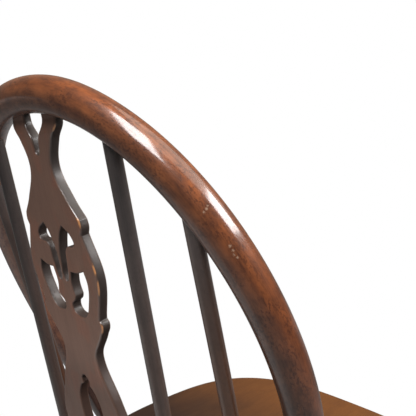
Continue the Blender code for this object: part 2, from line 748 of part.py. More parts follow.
def leg_axes():
    """Each leg's name with the top of its axis at the seat's underside and its foot on the floor."""
    axes = {}
    for name, side in SIDES.items():
        front_top = (side * (SEAT_HALF_WIDTH - FRONT_LEG_TOP_INSET), SEAT_FRONT_Y + FRONT_LEG_TOP_SETBACK)
        front_foot = (side * (SEAT_HALF_WIDTH - FRONT_LEG_FOOT_INSET), SEAT_FRONT_Y + FRONT_LEG_FOOT_SETBACK)
        rear_top = (side * (SEAT_HALF_WIDTH - REAR_LEG_TOP_INSET), SEAT_BACK_Y - REAR_LEG_TOP_SETBACK)
        rear_foot = (side * (SEAT_HALF_WIDTH - REAR_LEG_FOOT_INSET), SEAT_BACK_Y + REAR_LEG_FOOT_OVERHANG)
        axes["leg_front_" + name] = (Vector((*front_top, UNDERSIDE)), Vector((*front_foot, 0.0)))
        axes["leg_rear_" + name] = (Vector((*rear_top, UNDERSIDE)), Vector((*rear_foot, 0.0)))
    return axes


def ring_stations(drop):
    """A turned ring between two grooves."""
    return [
        (drop - LEG_RING_HALF_HEIGHT, LEG_GROOVE_RADIUS),
        (drop, LEG_RING_RADIUS),
        (drop + LEG_RING_HALF_HEIGHT, LEG_GROOVE_RADIUS),
    ]


def leg_profile(tenon_length, leg_length):
    """Radius and height from the tenon's end down to just below the floor, with 0 at the seat's underside."""
    foot = leg_length + CUTTER_REACH
    tapers = [(-tenon_length, LEG_TENON_RADIUS), (0.0, LEG_MOUTH_RADIUS)]
    turnings = [(LEG_NECK_DROP, LEG_NECK_RADIUS)]
    turnings += ring_stations(LEG_UPPER_RING_DROP)
    turnings += [(LEG_VASE_DROP, LEG_VASE_RADIUS)]
    turnings += ring_stations(LEG_LOWER_RING_DROP)
    turnings += [(LEG_ANKLE_DROP, LEG_ANKLE_RADIUS), (foot, LEG_FOOT_RADIUS)]
    outside = [(radius, -drop) for drop, radius in tapers + eased(turnings)]
    return [(0.0, tenon_length)] + outside + [(0.0, -foot)]


def make_legs(bench):
    floor_reach = SEAT_HALF_WIDTH - SEAT_FRONT_Y
    for name, (top, foot) in leg_axes().items():
        axis = (top - foot).normalized()
        tenon_length = (SEAT_THICKNESS - LEG_SOCKET_ROOF) / axis.z
        leg_length = (top - foot).length
        frame = along(foot, top) @ Matrix.Translation((0.0, 0.0, leg_length))
        leg = bench.add_part(name, profile_mesh(name, leg_profile(tenon_length, leg_length)), "leg", frame)
        turn(leg, LEG_SIDES)
        taper = (LEG_MOUTH_RADIUS - LEG_TENON_RADIUS) / tenon_length
        socket = rod_mesh(name + "_socket", LEG_MOUTH_RADIUS + JOINT_GAP + taper * CUTTER_REACH,
                          LEG_TENON_RADIUS + JOINT_GAP, CUTTER_REACH + tenon_length + JOINT_GAP, LEG_SIDES)
        bench.add_cutter("seat", socket, frame @ Matrix.Translation((0.0, 0.0, -CUTTER_REACH)))
        floor = box_mesh("floor", (-floor_reach, -floor_reach, -floor_reach), (floor_reach, floor_reach, 0.0))
        bench.add_cutter(name, floor)
        bench.cut(leg)


# Stretchers

def stretcher_profile(length, end_radius, middle_radius):
    stations = [(0.0, end_radius), (STRETCHER_TENON, end_radius), (length / 2.0, middle_radius),
                (length - STRETCHER_TENON, end_radius), (length, end_radius)]
    outside = [(radius, length - distance) for distance, radius in eased(stations)]
    return [(0.0, length)] + outside + [(0.0, 0.0)]


def make_stretcher(bench, name, start, end, start_owner, end_owner, end_radius, middle_radius):
    """A turned rail between two axis points, with a blind socket in the piece at each end."""
    axis = (end - start).normalized()
    near = start + axis * STRETCHER_END_SETBACK
    far = end - axis * STRETCHER_END_SETBACK
    length = (far - near).length
    profile = stretcher_profile(length, end_radius, middle_radius)
    rail = bench.add_part(name, profile_mesh(name, profile), "stretcher", along(near, far))
    turn(rail, LEG_SIDES)
    socket = rod_mesh(name + "_socket", end_radius + JOINT_GAP, end_radius + JOINT_GAP,
                      STRETCHER_TENON + JOINT_GAP, LEG_SIDES)
    bench.add_cutter(start_owner, socket, along(near - axis * JOINT_GAP, far))
    bench.add_cutter(end_owner, socket, along(far + axis * JOINT_GAP, near))


def axis_at_height(top, foot, height):
    return foot + (top - foot) * (height / top.z)


def make_stretchers(bench):
    axes = leg_axes()
    middles = {}
    for name in SIDES:
        front, rear = "leg_front_" + name, "leg_rear_" + name
        start = axis_at_height(*axes[front], STRETCHER_HEIGHT)
        end = axis_at_height(*axes[rear], STRETCHER_HEIGHT)
        middles[name] = (start + end) / 2.0
        make_stretcher(bench, "stretcher_" + name, start, end, front, rear,
                       STRETCHER_END_RADIUS, STRETCHER_MIDDLE_RADIUS)
    make_stretcher(bench, "stretcher_cross", middles["left"], middles["right"], "stretcher_left",
                   "stretcher_right", CROSS_STRETCHER_END_RADIUS, CROSS_STRETCHER_MIDDLE_RADIUS)
    for name in SIDES:
        bench.cut(bpy.data.objects["stretcher_" + name])


def main():
    clear_scene()
    back_y = on_bow_plane(BOW_CROWN).y + BOW_CROWN_RADIUS
    bench = Bench(origin_y=-(SEAT_FRONT_Y + back_y) / 2.0)
    make_spindles(bench)
    make_splat(bench)
    make_bow_feet(bench)
    make_bow(bench)
    make_legs(bench)
    make_seat(bench)
    make_stretchers(bench)


main()
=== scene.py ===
# %% [markdown]
# # A thistle back chair
#
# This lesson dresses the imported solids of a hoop-back dining chair. Each piece gets a finer surface and a
# stained, polished wood, and the camera stands where it stood for the photograph: behind the chair and to
# its right, close to the bow. Lengths are metres, +Z is up, the sitter faces -Y and the chair's own left is
# +X.

# %% Load the frame
import math

import bmesh
import bpy
from mathutils import Matrix, Quaternion, Vector


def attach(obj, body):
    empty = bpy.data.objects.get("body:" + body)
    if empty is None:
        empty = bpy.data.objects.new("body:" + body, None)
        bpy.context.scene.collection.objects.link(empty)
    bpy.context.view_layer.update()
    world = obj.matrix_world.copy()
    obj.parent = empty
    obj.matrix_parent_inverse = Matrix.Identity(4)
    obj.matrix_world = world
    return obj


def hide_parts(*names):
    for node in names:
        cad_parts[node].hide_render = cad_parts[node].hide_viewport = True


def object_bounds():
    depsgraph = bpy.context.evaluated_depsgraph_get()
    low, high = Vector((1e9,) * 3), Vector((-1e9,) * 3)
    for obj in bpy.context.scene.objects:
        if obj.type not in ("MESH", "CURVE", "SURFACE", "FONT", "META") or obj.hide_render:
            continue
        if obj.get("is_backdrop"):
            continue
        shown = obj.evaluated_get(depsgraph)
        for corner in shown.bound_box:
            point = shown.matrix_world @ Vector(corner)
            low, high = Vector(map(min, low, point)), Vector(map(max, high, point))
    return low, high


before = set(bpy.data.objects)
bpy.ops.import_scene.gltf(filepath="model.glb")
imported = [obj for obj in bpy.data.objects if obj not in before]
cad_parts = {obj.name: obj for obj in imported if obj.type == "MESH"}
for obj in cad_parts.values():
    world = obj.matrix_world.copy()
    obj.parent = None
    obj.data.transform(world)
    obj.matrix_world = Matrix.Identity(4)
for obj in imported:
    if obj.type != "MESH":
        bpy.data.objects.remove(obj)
cad_low, cad_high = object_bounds()
print("frame:", len(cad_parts), "nodes, box", [round(v, 4) for v in (*cad_low, *cad_high)])

# %% [markdown]
# ## Camera
#
# The camera was solved from the outlines of the bow, the sticks and the seat in the photograph, so it is a
# place, a direction, a small roll and a lens. The frame is square, so the sensor's width is also its height.

# %% Camera
CAMERA_PLACE = Vector((-0.3876, 0.4191, 0.8125))
CAMERA_LOOK = Vector((0.7152, -0.6881, -0.1219))
CAMERA_ROLL = -0.0048
CAMERA_LENS_MM = 46.8
CAMERA_SENSOR_MM = 36.0
CAMERA_CLIP_START = 0.01


def add_object(name, data):
    thing = bpy.data.objects.new(name, data)
    bpy.context.scene.collection.objects.link(thing)
    return thing


def aim(thing, place, look, roll=0.0):
    """Stands a camera or a lamp at a place, looking along a direction."""
    thing.rotation_mode = "QUATERNION"
    thing.location = place
    thing.rotation_quaternion = look.to_track_quat("-Z", "Y") @ Quaternion((0.0, 0.0, 1.0), roll)


def make_camera():
    data = bpy.data.cameras.new("photo_view")
    data.sensor_width = CAMERA_SENSOR_MM
    data.lens = CAMERA_LENS_MM
    data.clip_start = CAMERA_CLIP_START
    camera = add_object("photo_view", data)
    aim(camera, CAMERA_PLACE, CAMERA_LOOK, CAMERA_ROLL)
    bpy.context.scene.camera = camera


make_camera()
print("camera:", CAMERA_LENS_MM, "mm lens at", tuple(round(v, 3) for v in CAMERA_PLACE))

# %% [markdown]
# ## Node helpers
#
# Every tree below is built by one small function, which adds a node and sets or links its inputs. The others
# name what the trees do most. A socket knows its tree, so they need only be given sockets and numbers.

# %% Node helpers


def put(tree, kind, inputs=None, **settings):
    """Adds a node and returns its outputs. An input that is given a socket is linked."""
    node = tree.nodes.new(kind)
    for name, value in settings.items():
        setattr(node, name, value)
    for key, value in (inputs or {}).items():
        if isinstance(value, bpy.types.NodeSocket):
            tree.links.new(value, node.inputs[key])
        else:
            node.inputs[key].default_value = value
    return node.outputs


def link(socket, to):
    socket.id_data.links.new(socket, to)


def tree_of(*values):
    """The tree of the first socket among the values."""
    return next(value.id_data for value in values if isinstance(value, bpy.types.NodeSocket))


def math_of(operation, a, b=0.0, clamp=False):
    return put(tree_of(a, b), "ShaderNodeMath", {0: a, 1: b}, operation=operation, use_clamp=clamp)[0]


def plus(a, b, clamp=False):
    return math_of("ADD", a, b, clamp)


def minus(a, b):
    return math_of("SUBTRACT", a, b)


def times(a, b):
    return math_of("MULTIPLY", a, b)


def vector_of(operation, a, b, output="Vector"):
    return put(tree_of(a, b), "ShaderNodeVectorMath", {0: a, 1: b}, operation=operation)[output]


def measure(operation, a, b=(0.0, 0.0, 0.0)):
    """A number from vectors: a length, a distance or a dot product."""
    return vector_of(operation, a, b, "Value")


def part_of(vector, axis):
    return put(vector.id_data, "ShaderNodeSeparateXYZ", {0: vector})[axis]


def object_place(tree):
    return put(tree, "ShaderNodeTexCoord")["Object"]


def ramp(value, low, high, to_low=0.0, to_high=1.0):
    """A soft step from to_low to to_high while value goes from low to high."""
    inputs = {"Value": value, "From Min": low, "From Max": high, "To Min": to_low, "To Max": to_high}
    return put(value.id_data, "ShaderNodeMapRange", inputs, interpolation_type="SMOOTHSTEP")[0]


def noise(vector, scale, detail=2.0, roughness=0.5):
    inputs = {"Vector": vector, "Scale": scale, "Detail": detail, "Roughness": roughness}
    return put(vector.id_data, "ShaderNodeTexNoise", inputs)["Fac"]


def grain_noise(grain, stretch, scale, detail=2.0, roughness=0.5):
    """Noise that is drawn out along the fibres."""
    return noise(vector_of("MULTIPLY", grain, (1.0, 1.0, stretch)), scale, detail, roughness)


def mix_colour(factor, a, b, blend="MIX"):
    inputs = {0: factor, 6: a, 7: b}
    return put(factor.id_data, "ShaderNodeMix", inputs, data_type="RGBA", blend_type=blend)[2]


def stained(colour, mask, stain):
    return mix_colour(mask, colour, stain, "MULTIPLY")


def mix_shader(factor, first, second):
    return put(factor.id_data, "ShaderNodeMixShader", {0: factor, 1: first, 2: second})[0]


def new_group(name, inputs, outputs, kind="ShaderNodeTree"):
    """A node group with named sockets. Returns the tree, what it is given and what it puts out."""
    tree = bpy.data.node_groups.new(name, kind)
    for in_out, sockets in (("INPUT", inputs), ("OUTPUT", outputs)):
        for label, socket in sockets.items():
            tree.interface.new_socket(label, in_out=in_out, socket_type="NodeSocket" + socket)
    return tree, tree.nodes.new("NodeGroupInput").outputs, tree.nodes.new("NodeGroupOutput").inputs


def place_group(tree, group, inputs):
    return put(tree, "ShaderNodeGroup", inputs, node_tree=group)


# %% [markdown]
# ## Stage
#
# One soft box hangs over the back of the chair and one stands at its right, and each draws a white streak on
# the polished bow. A large warm card fills the glow round them. The camera sees the world and the floor
# white. Reflections see a dim, warm room, a paler sweep beyond the chair and a grey floor with one pale
# patch.

# %% Stage
ROOM_FILL = 0.20
ROOM_MIRRORED = 0.05
SWEEP_MIRRORED = 0.20
SWEEP_DIRECTION = Vector((0.72, -0.69, 0.0))
SWEEP_EDGE = (0.35, 0.90)
SWEEP_FOOT = (0.8, 2.5)
SWEEP_FOOT_MIRRORED = 0.22
FLOOR_HALF = 12.0
FLOOR_CORNERS = ((-1, -1), (1, -1), (1, 1), (-1, 1))
FLOOR_COLOUR = (0.36, 0.36, 0.36, 1.0)
FLOOR_MIRRORED = (0.18, 0.18, 0.18, 1.0)
FLOOR_PATCH_MIRRORED = (0.45, 0.45, 0.45, 1.0)
FLOOR_PATCH_PLACE = (0.62, 0.62, 0.0)
FLOOR_PATCH_REACH = (0.35, 0.90)
FLOOR_WHITE_SHARE = 0.72
SHADOW_REACH = (0.45, 1.0)
WHITE = (1.0, 1.0, 1.0, 1.0)
WARM_ROOM = (1.0, 0.78, 0.62, 1.0)
PLAIN_LIGHT = (1.0, 1.0, 1.0)
WARM_LIGHT = (1.0, 0.90, 0.80)
# Each lamp's place, target, width and length, watts and colour
LAMPS = {
    "soft_box_over": ((-0.36, 0.96, 2.10), (-0.12, 0.22, 0.82), (0.60, 1.10), 33.0, PLAIN_LIGHT),
    "soft_box_right": ((-1.25, -0.60, 1.85), (-0.17, 0.20, 0.77), (1.35, 0.55), 35.0, PLAIN_LIGHT),
    "bounce_card": ((-0.69, -0.39, 2.29), (-0.15, 0.21, 0.79), (1.90, 1.90), 23.0, WARM_LIGHT),
}


def make_world():
    world = bpy.data.worlds.new("studio")
    world.use_nodes = True
    tree = world.node_tree
    tree.nodes.clear()
    direction = put(tree, "ShaderNodeTexCoord")["Generated"]
    sweep = ramp(measure("DOT_PRODUCT", direction, SWEEP_DIRECTION), *SWEEP_EDGE)
    path = put(tree, "ShaderNodeLightPath")
    mirror = path["Is Glossy Ray"]
    mirrored = plus(times(sweep, SWEEP_MIRRORED), ROOM_MIRRORED)
    level = minus(ROOM_FILL, times(mirror, minus(ROOM_FILL, mirrored)))
    shade = mix_colour(mirror, WHITE, WARM_ROOM)
    room = put(tree, "ShaderNodeBackground", {"Color": shade, "Strength": level})[0]
    white = put(tree, "ShaderNodeBackground", {"Color": WHITE, "Strength": 1.0})[0]
    put(tree, "ShaderNodeOutputWorld", {"Surface": mix_shader(path["Is Camera Ray"], room, white)})
    bpy.context.scene.world = world


def make_floor():
    mesh = bpy.data.meshes.new("floor")
    mesh.from_pydata([(x * FLOOR_HALF, y * FLOOR_HALF, 0.0) for x, y in FLOOR_CORNERS], [], [(0, 1, 2, 3)])
    floor = add_object("floor", mesh)
    material = bpy.data.materials.new("white_floor")
    material.use_nodes = True
    tree = material.node_tree
    tree.nodes.clear()
    path = put(tree, "ShaderNodeLightPath")
    mirror = path["Is Glossy Ray"]
    place = object_place(tree)
    off_patch = ramp(measure("DISTANCE", place, FLOOR_PATCH_PLACE), *FLOOR_PATCH_REACH)
    shade = mix_colour(mirror, FLOOR_COLOUR, mix_colour(off_patch, FLOOR_PATCH_MIRRORED, FLOOR_MIRRORED))
    paint = put(tree, "ShaderNodeBsdfDiffuse", {"Color": shade})[0]
    glow = put(tree, "ShaderNodeEmission", {"Color": WHITE, "Strength": 1.0})[0]
    towards = measure("DOT_PRODUCT", place, SWEEP_DIRECTION)
    beyond = ramp(towards, *SWEEP_FOOT, 0.0, SWEEP_FOOT_MIRRORED)
    seen = plus(path["Is Camera Ray"], times(mirror, beyond), True)
    bare = ramp(measure("LENGTH", place), *SHADOW_REACH, FLOOR_WHITE_SHARE, 1.0)
    put(tree, "ShaderNodeOutputMaterial", {"Surface": mix_shader(times(seen, bare), paint, glow)})
    mesh.materials.append(material)
    floor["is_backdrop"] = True


def make_lamp(name, place, target, size, watts, colour):
    data = bpy.data.lights.new(name, "AREA")
    data.shape = "RECTANGLE"
    data.size, data.size_y = size
    data.energy = watts
    data.color = colour
    aim(add_object(name, data), place, Vector(target) - Vector(place))


make_world()
make_floor()
for name, sizes in LAMPS.items():
    make_lamp(name, *sizes)
bpy.context.scene.view_settings.view_transform = "Standard"
print("stage: white sweep, floor and", list(LAMPS))

# %% [markdown]
# ## Wood
#
# Every piece carries an attribute named grain: where each point lay in the straight stick or board before it
# was bent, with Z along the fibres. One shader group turns that into rings, fine fibres, a cloudy mottle
# where the stain took unevenly, and the short dark flecks of beech, which bend round the bow as real fibres
# do.

# %% Wood figure group
FIGURE_INPUTS = {
    "Grain": "Vector", "Ring Width": "Float", "Ring Wander": "Float", "Ring Strength": "Float",
    "Mottle Size": "Float", "Mottle Strength": "Float", "Fleck Strength": "Float", "Light": "Color",
    "Dark": "Color",
}
FIGURE_OUTPUTS = {"Color": "Color", "Shade": "Float", "Height": "Float"}
# Each noise: how far it is drawn in along the fibres, its scale, and its detail and roughness if unusual
RING_NOISE = (0.06, 45.0, 3.0)
RING_WANDER_GAIN = 4.0
FINE_DETAIL = (2.0, 0.6)
FIBRE_NOISE = (0.035, 900.0, *FINE_DETAIL)
FIBRE_GAIN = 0.5
CLOUD_STRETCH = 0.45
CLOUD_DETAIL = (4.0, 0.62)
CLOUD_GAIN = 3.0
SPECKLE_NOISE = (0.62, 640.0, *FINE_DETAIL)
SPECKLE_EDGE = (0.50, 0.60)
FLOCK_NOISE = (0.60, 95.0)
FLOCK_EDGE = (0.36, 0.60)


def make_wood_figure():
    tree, given, out = new_group("wood_figure", FIGURE_INPUTS, FIGURE_OUTPUTS)
    grain = given["Grain"]
    wander = times(times(grain_noise(grain, *RING_NOISE), given["Ring Wander"]), RING_WANDER_GAIN)
    turns = math_of("DIVIDE", plus(part_of(grain, "X"), wander), given["Ring Width"])
    rings = times(minus(math_of("PINGPONG", turns, 0.5), 0.25), 2.0)
    fibres = grain_noise(grain, *FIBRE_NOISE)
    shade = plus(times(rings, given["Ring Strength"]), times(minus(fibres, 0.5), FIBRE_GAIN))
    cloud_scale = math_of("DIVIDE", 1.0, given["Mottle Size"])
    clouds = grain_noise(grain, CLOUD_STRETCH, cloud_scale, *CLOUD_DETAIL)
    cloudy = times(minus(clouds, 0.5), given["Mottle Strength"])
    shade = plus(plus(shade, times(cloudy, CLOUD_GAIN)), 0.5, True)
    speckle = ramp(grain_noise(grain, *SPECKLE_NOISE), *SPECKLE_EDGE)
    flock = ramp(grain_noise(grain, *FLOCK_NOISE), *FLOCK_EDGE)
    flecks = times(times(speckle, flock), given["Fleck Strength"])
    colour = mix_colour(shade, given["Dark"], given["Light"])
    link(mix_colour(flecks, colour, given["Dark"]), out["Color"])
    link(shade, out["Shade"])
    link(minus(fibres, flecks), out["Height"])
    return tree


wood_figure = make_wood_figure()
print("wood figure group:", len(wood_figure.nodes), "nodes")

# %% [markdown]
# ## Wear
#
# Two more groups are shared by the finishes. One shows pale wood on an arris near a place where the stain
# has rubbed through, from an attribute named arris that is highest on the rounded edges. The other is one
# small knock: a spot round a point where something has hit the polish.

# %% Wear groups
RUB_NOISE_SCALE = 420.0
RUB_EDGE = (1.5, 0.8)
RUB_ARRIS = (0.45, 0.90)
KNOCK_NOISE_SCALE = 1500.0
KNOCK_NOISE_DETAIL = 1.0
KNOCK_RAGGED = 1.2
KNOCK_EDGE = (1.6, 0.9)
KNOCK_SHARE = 0.8
SPOT_INPUTS = {"Place": "Vector", "Centre": "Vector", "Size": "Float"}


def sizes_away(given):
    """How far a place is from the spot's centre, in sizes of the spot."""
    return math_of("DIVIDE", measure("DISTANCE", given["Place"], given["Centre"]), given["Size"])


def make_rubbed():
    tree, given, out = new_group("rubbed", {**SPOT_INPUTS, "Arris": "Float"}, {"Mask": "Float"})
    ragged = noise(given["Place"], RUB_NOISE_SCALE, *FINE_DETAIL)
    near = ramp(plus(sizes_away(given), ragged), *RUB_EDGE)
    link(times(near, ramp(given["Arris"], *RUB_ARRIS)), out["Mask"])
    return tree


def make_knock():
    tree, given, out = new_group("knock", SPOT_INPUTS, {"Mask": "Float"})
    ragged = times(noise(given["Place"], KNOCK_NOISE_SCALE, KNOCK_NOISE_DETAIL), KNOCK_RAGGED)
    link(ramp(plus(sizes_away(given), ragged), *KNOCK_EDGE, 0.0, KNOCK_SHARE), out["Mask"])
    return tree


rubbed = make_rubbed()
knock = make_knock()
print("wear groups:", rubbed.name, knock.name)

# %% [markdown]
# ## Finishes
#
# The polish is a clear coat over a satin stain. The coat gives the sharp streaks of the soft boxes, and the
# rougher stain gives the warm glow round them. The figure drives the colour, the roughness and a very small
# bump, so the gloss breaks up along the fibres. Paler and darker runs, rubbed edges and a few knocks follow.
# Light and shade are painted in as well: a grey reflection inside the bow and a grey sheen on the upper
# sticks, a paler far limb, and shade on its foot, on the far sticks and at the back of the seat.

# %% Finish maker
COAT_IOR = 1.6
UNDER_COAT_SPECULAR = 0.2
BUMP = {"Strength": 0.12, "Distance": 0.0004}


def new_wood(name, rings, mottle, fleck, light, dark, roughness, coat):
    """A wood from the figure group. Returns the material, its shader's inputs, the figure and the grain.

    Rings are (width, wander, strength), mottle is (size, strength) and coat is (weight, roughness)."""
    material = bpy.data.materials.new(name)
    material.use_nodes = True
    tree = material.node_tree
    shader = tree.nodes["Principled BSDF"].inputs
    grain = put(tree, "ShaderNodeAttribute", attribute_name="grain")["Vector"]
    names = [label for label in FIGURE_INPUTS if label != "Grain"]
    values = (*rings, *mottle, fleck, (*light, 1.0), (*dark, 1.0))
    wood = place_group(tree, wood_figure, {"Grain": grain, **dict(zip(names, values))})
    link(wood["Color"], shader["Base Color"])
    low, high = roughness
    link(ramp(wood["Shade"], 0.0, 1.0, high, low), shader["Roughness"])
    link(put(tree, "ShaderNodeBump", {**BUMP, "Height": wood["Height"]})[0], shader["Normal"])
    shader["Coat Weight"].default_value, shader["Coat Roughness"].default_value = coat
    shader["Coat IOR"].default_value = COAT_IOR
    shader["Specular IOR Level"].default_value = UNDER_COAT_SPECULAR
    return material, shader, wood, grain


# %% Bow finish
BOW_KNOCKS = [
    ((-0.0232, 0.2424, 0.8499), 0.0014),
    ((-0.1633, 0.2066, 0.7722), 0.0011), ((-0.1640, 0.2053, 0.7740), 0.0013),
    ((-0.1638, 0.2043, 0.7756), 0.0010), ((-0.1757, 0.1978, 0.7528), 0.0013),
    ((-0.1770, 0.1967, 0.7503), 0.0011), ((-0.1772, 0.1961, 0.7478), 0.0013),
    ((-0.1790, 0.1951, 0.7462), 0.0010),
]
KNOCK_COLOUR = (0.30, 0.20, 0.14, 1.0)
BOW_INNER_PAINTED_REFLECTION = (0.76, 1.00, 1.45, 1.0)
BOW_INNER_SIDE = (0.039, 0.025)
BOW_FOOT_DARKENING = (0.54, 0.54, 0.58, 1.0)
BOW_FOOT_REACH_UP = (0.82, 0.61)
BOW_RIGHT_LIMB = (0.0, -0.10)
BOW_LEFT_PAINTED_LIGHT = (1.12, 1.25, 1.50, 1.0)
BOW_LEFT_LIMB = (-0.01, 0.07)
BOW_LEFT_FOOT_PAINTED_SHADE = (0.36, 0.36, 0.40, 1.0)
BOW_LEFT_FOOT_REACH_UP = (0.60, 0.53)
BOW_COAT_RUN = (0.15, 0.60, 0.80, 1.0)


def make_bow_wood():
    material, shader, wood, grain = new_wood(
        "bow_polish", rings=(0.011, 0.004, 0.16), mottle=(0.0060, 0.52), fleck=0.62,
        light=(0.264, 0.080, 0.027), dark=(0.053, 0.019, 0.011), roughness=(0.32, 0.44), coat=(1.0, 0.14))
    tree = material.node_tree
    place = object_place(tree)
    across, height = part_of(place, "X"), part_of(place, "Z")
    left_limb = ramp(across, *BOW_LEFT_LIMB)
    right_foot = times(ramp(height, *BOW_FOOT_REACH_UP), ramp(across, *BOW_RIGHT_LIMB))
    left_foot = times(ramp(height, *BOW_LEFT_FOOT_REACH_UP), left_limb)
    # The near limb is darker towards its foot.
    colour = stained(wood["Color"], right_foot, BOW_FOOT_DARKENING)
    # Painted reflection: the inner side of the bow is tinted grey, as if it mirrored the floor.
    colour = stained(colour, ramp(part_of(grain, "X"), *BOW_INNER_SIDE), BOW_INNER_PAINTED_REFLECTION)
    # Painted light: the far limb is made paler and greyer.
    colour = stained(colour, left_limb, BOW_LEFT_PAINTED_LIGHT)
    # Painted shade: the far limb darkens low down, where it stands behind the splat.
    colour = stained(colour, left_foot, BOW_LEFT_FOOT_PAINTED_SHADE)
    for centre, size in BOW_KNOCKS:
        spot = place_group(tree, knock, {"Place": place, "Centre": centre, "Size": size})
        colour = mix_colour(spot["Mask"], colour, KNOCK_COLOUR)
    link(colour, shader["Base Color"])
    link(ramp(wood["Height"], *BOW_COAT_RUN), shader["Coat Weight"])
    return material


# %% Splat finish
SPLAT_SPECULAR = 0.5
SPLAT_FACE_COAT = 0.05
SPLAT_COAT_EDGE = (0.02, 0.30)
SPLAT_RED = (1.14, 0.97, 0.90, 1.0)
SPLAT_PATCH_NOISE = (0.55, 60.0)
SPLAT_PATCH_EDGE = (0.50, 0.66)
SPLAT_PALE_FOOT = (1.48, 1.48, 1.48, 1.0)
SPLAT_PALE_RUN = (0.375, 0.155)
SPLAT_DARK_FOOT = (0.62, 0.60, 0.58, 1.0)
SPLAT_DARK_RUN = (0.210, 0.165)
SAWN_STAIN = (0.016, 0.013, 0.012, 1.0)
SAWN_LOW_STAIN = (0.026, 0.012, 0.008, 1.0)
SAWN_SHARE = 0.92
BARE_WOOD = (0.50, 0.22, 0.080, 1.0)
RUBBED_PLACES = [
    ((-0.0425, -0.0040, 0.3208), 0.0050), ((-0.0450, -0.0040, 0.2343), 0.0060),
    ((-0.0515, -0.0040, 0.2853), 0.0060), ((-0.0510, -0.0040, 0.2703), 0.0070),
    ((-0.0330, -0.0040, 0.3883), 0.0050), ((0.0420, -0.0040, 0.3203), 0.0040),
    ((0.0450, -0.0040, 0.2353), 0.0050), ((0.0440, 0.0040, 0.3143), 0.0040),
]


def make_splat_wood():
    material, shader, wood, grain = new_wood(
        "splat_stain", rings=(0.016, 0.010, 0.05), mottle=(0.020, 0.22), fleck=0.20,
        light=(0.190, 0.102, 0.071), dark=(0.108, 0.060, 0.043), roughness=(0.44, 0.56),
        coat=(SPLAT_FACE_COAT, 0.16))
    tree = material.node_tree
    sawn = put(tree, "ShaderNodeAttribute", attribute_name="sawn")["Fac"]
    arris = put(tree, "ShaderNodeAttribute", attribute_name="arris")["Fac"]
    along = part_of(grain, "Z")
    low = ramp(along, *SPLAT_DARK_RUN)
    patches = ramp(grain_noise(grain, *SPLAT_PATCH_NOISE), *SPLAT_PATCH_EDGE)
    colour = stained(wood["Color"], ramp(along, *SPLAT_PALE_RUN), SPLAT_PALE_FOOT)
    colour = stained(colour, patches, SPLAT_RED)
    colour = stained(colour, low, SPLAT_DARK_FOOT)
    wall = mix_colour(low, SAWN_STAIN, SAWN_LOW_STAIN)
    colour = mix_colour(times(sawn, SAWN_SHARE), colour, wall)
    for centre, size in RUBBED_PLACES:
        rub = place_group(tree, rubbed, {"Place": grain, "Centre": centre, "Size": size, "Arris": arris})
        colour = mix_colour(rub["Mask"], colour, BARE_WOOD)
    link(colour, shader["Base Color"])
    link(ramp(arris, *SPLAT_COAT_EDGE, SPLAT_FACE_COAT, 1.0), shader["Coat Weight"])
    shader["Specular IOR Level"].default_value = SPLAT_SPECULAR
    return material


# %% Stick and seat finishes
OUTER_STICKS = (0.10, 0.13)
INNER_STICK_SHARE = 0.35
STICK_WARMTH = (1.60, 0.80, 0.42, 1.0)
STICK_WARM_RUN = (0.80, 0.60)
STICK_LEFT_PAINTED_SHADE = (0.60, 0.58, 0.58, 1.0)
STICK_LEFT_EDGE = (0.0, 0.02)
STICK_PALE_TOP = (1.80, 1.80, 1.80, 1.0)
STICK_PALE_RUN = (0.71, 0.77)
SEAT_PAINTED_SHADE = (0.25, 0.35, 0.80, 1.0)
SEAT_SHADE_RUN = (-0.215, -0.02)
SEAT_SHADE_SCALE = 14.0
SEAT_SHADE_WANDER = 0.10


def make_stick_wood():
    material, shader, wood, _ = new_wood(
        "stick_stain", rings=(0.009, 0.003, 0.30), mottle=(0.012, 0.30), fleck=0.30,
        light=(0.084, 0.068, 0.064), dark=(0.034, 0.030, 0.030), roughness=(0.40, 0.50), coat=(0.85, 0.22))
    place = object_place(material.node_tree)
    across, height = part_of(place, "X"), part_of(place, "Z")
    from_middle = math_of("ABSOLUTE", across)
    warm_share = ramp(from_middle, *OUTER_STICKS, INNER_STICK_SHARE, 1.0)
    # The sticks grow warmer lower down, the outer ones most; the cool grey above is partly a painted grey
    # sheen.
    colour = stained(wood["Color"], times(ramp(height, *STICK_WARM_RUN), warm_share), STICK_WARMTH)
    # Painted shade darkens the sticks on the chair's left, the far side.
    colour = stained(colour, ramp(across, *STICK_LEFT_EDGE), STICK_LEFT_PAINTED_SHADE)
    # The tops of the outer sticks are paler.
    pale_top = times(ramp(height, *STICK_PALE_RUN), ramp(from_middle, *OUTER_STICKS))
    link(stained(colour, pale_top, STICK_PALE_TOP), shader["Base Color"])
    return material


def make_seat_wood():
    material, shader, wood, _ = new_wood(
        "seat_polish", rings=(0.022, 0.016, 0.10), mottle=(0.050, 0.28), fleck=0.20,
        light=(0.176, 0.067, 0.0175), dark=(0.076, 0.029, 0.0110), roughness=(0.50, 0.62), coat=(0.05, 0.35))
    place = object_place(material.node_tree)
    # Painted shade: the seat darkens towards its back, under the chair's back.
    wander = times(minus(noise(place, SEAT_SHADE_SCALE), 0.5), SEAT_SHADE_WANDER)
    back_shade = ramp(plus(part_of(place, "Y"), wander), *SEAT_SHADE_RUN)
    link(stained(wood["Color"], back_shade, SEAT_PAINTED_SHADE), shader["Base Color"])
    return material


# %% All finishes
bow_wood = make_bow_wood()
splat_wood = make_splat_wood()
stick_wood = make_stick_wood()
seat_wood = make_seat_wood()
leg_wood = new_wood(
    "leg_stain", rings=(0.012, 0.004, 0.35), mottle=(0.006, 0.50), fleck=0.45,
    light=(0.190, 0.072, 0.034), dark=(0.050, 0.020, 0.012), roughness=(0.36, 0.46), coat=(0.7, 0.20))[0]
wedge_wood = new_wood(
    "wedge_bare", rings=(0.002, 0.001, 0.40), mottle=(0.004, 0.25), fleck=0.20,
    light=(0.360, 0.230, 0.130), dark=(0.190, 0.110, 0.060), roughness=(0.50, 0.62), coat=(0.1, 0.40))[0]
print("finishes:", [m.name for m in (bow_wood, splat_wood, stick_wood, seat_wood, leg_wood, wedge_wood)])
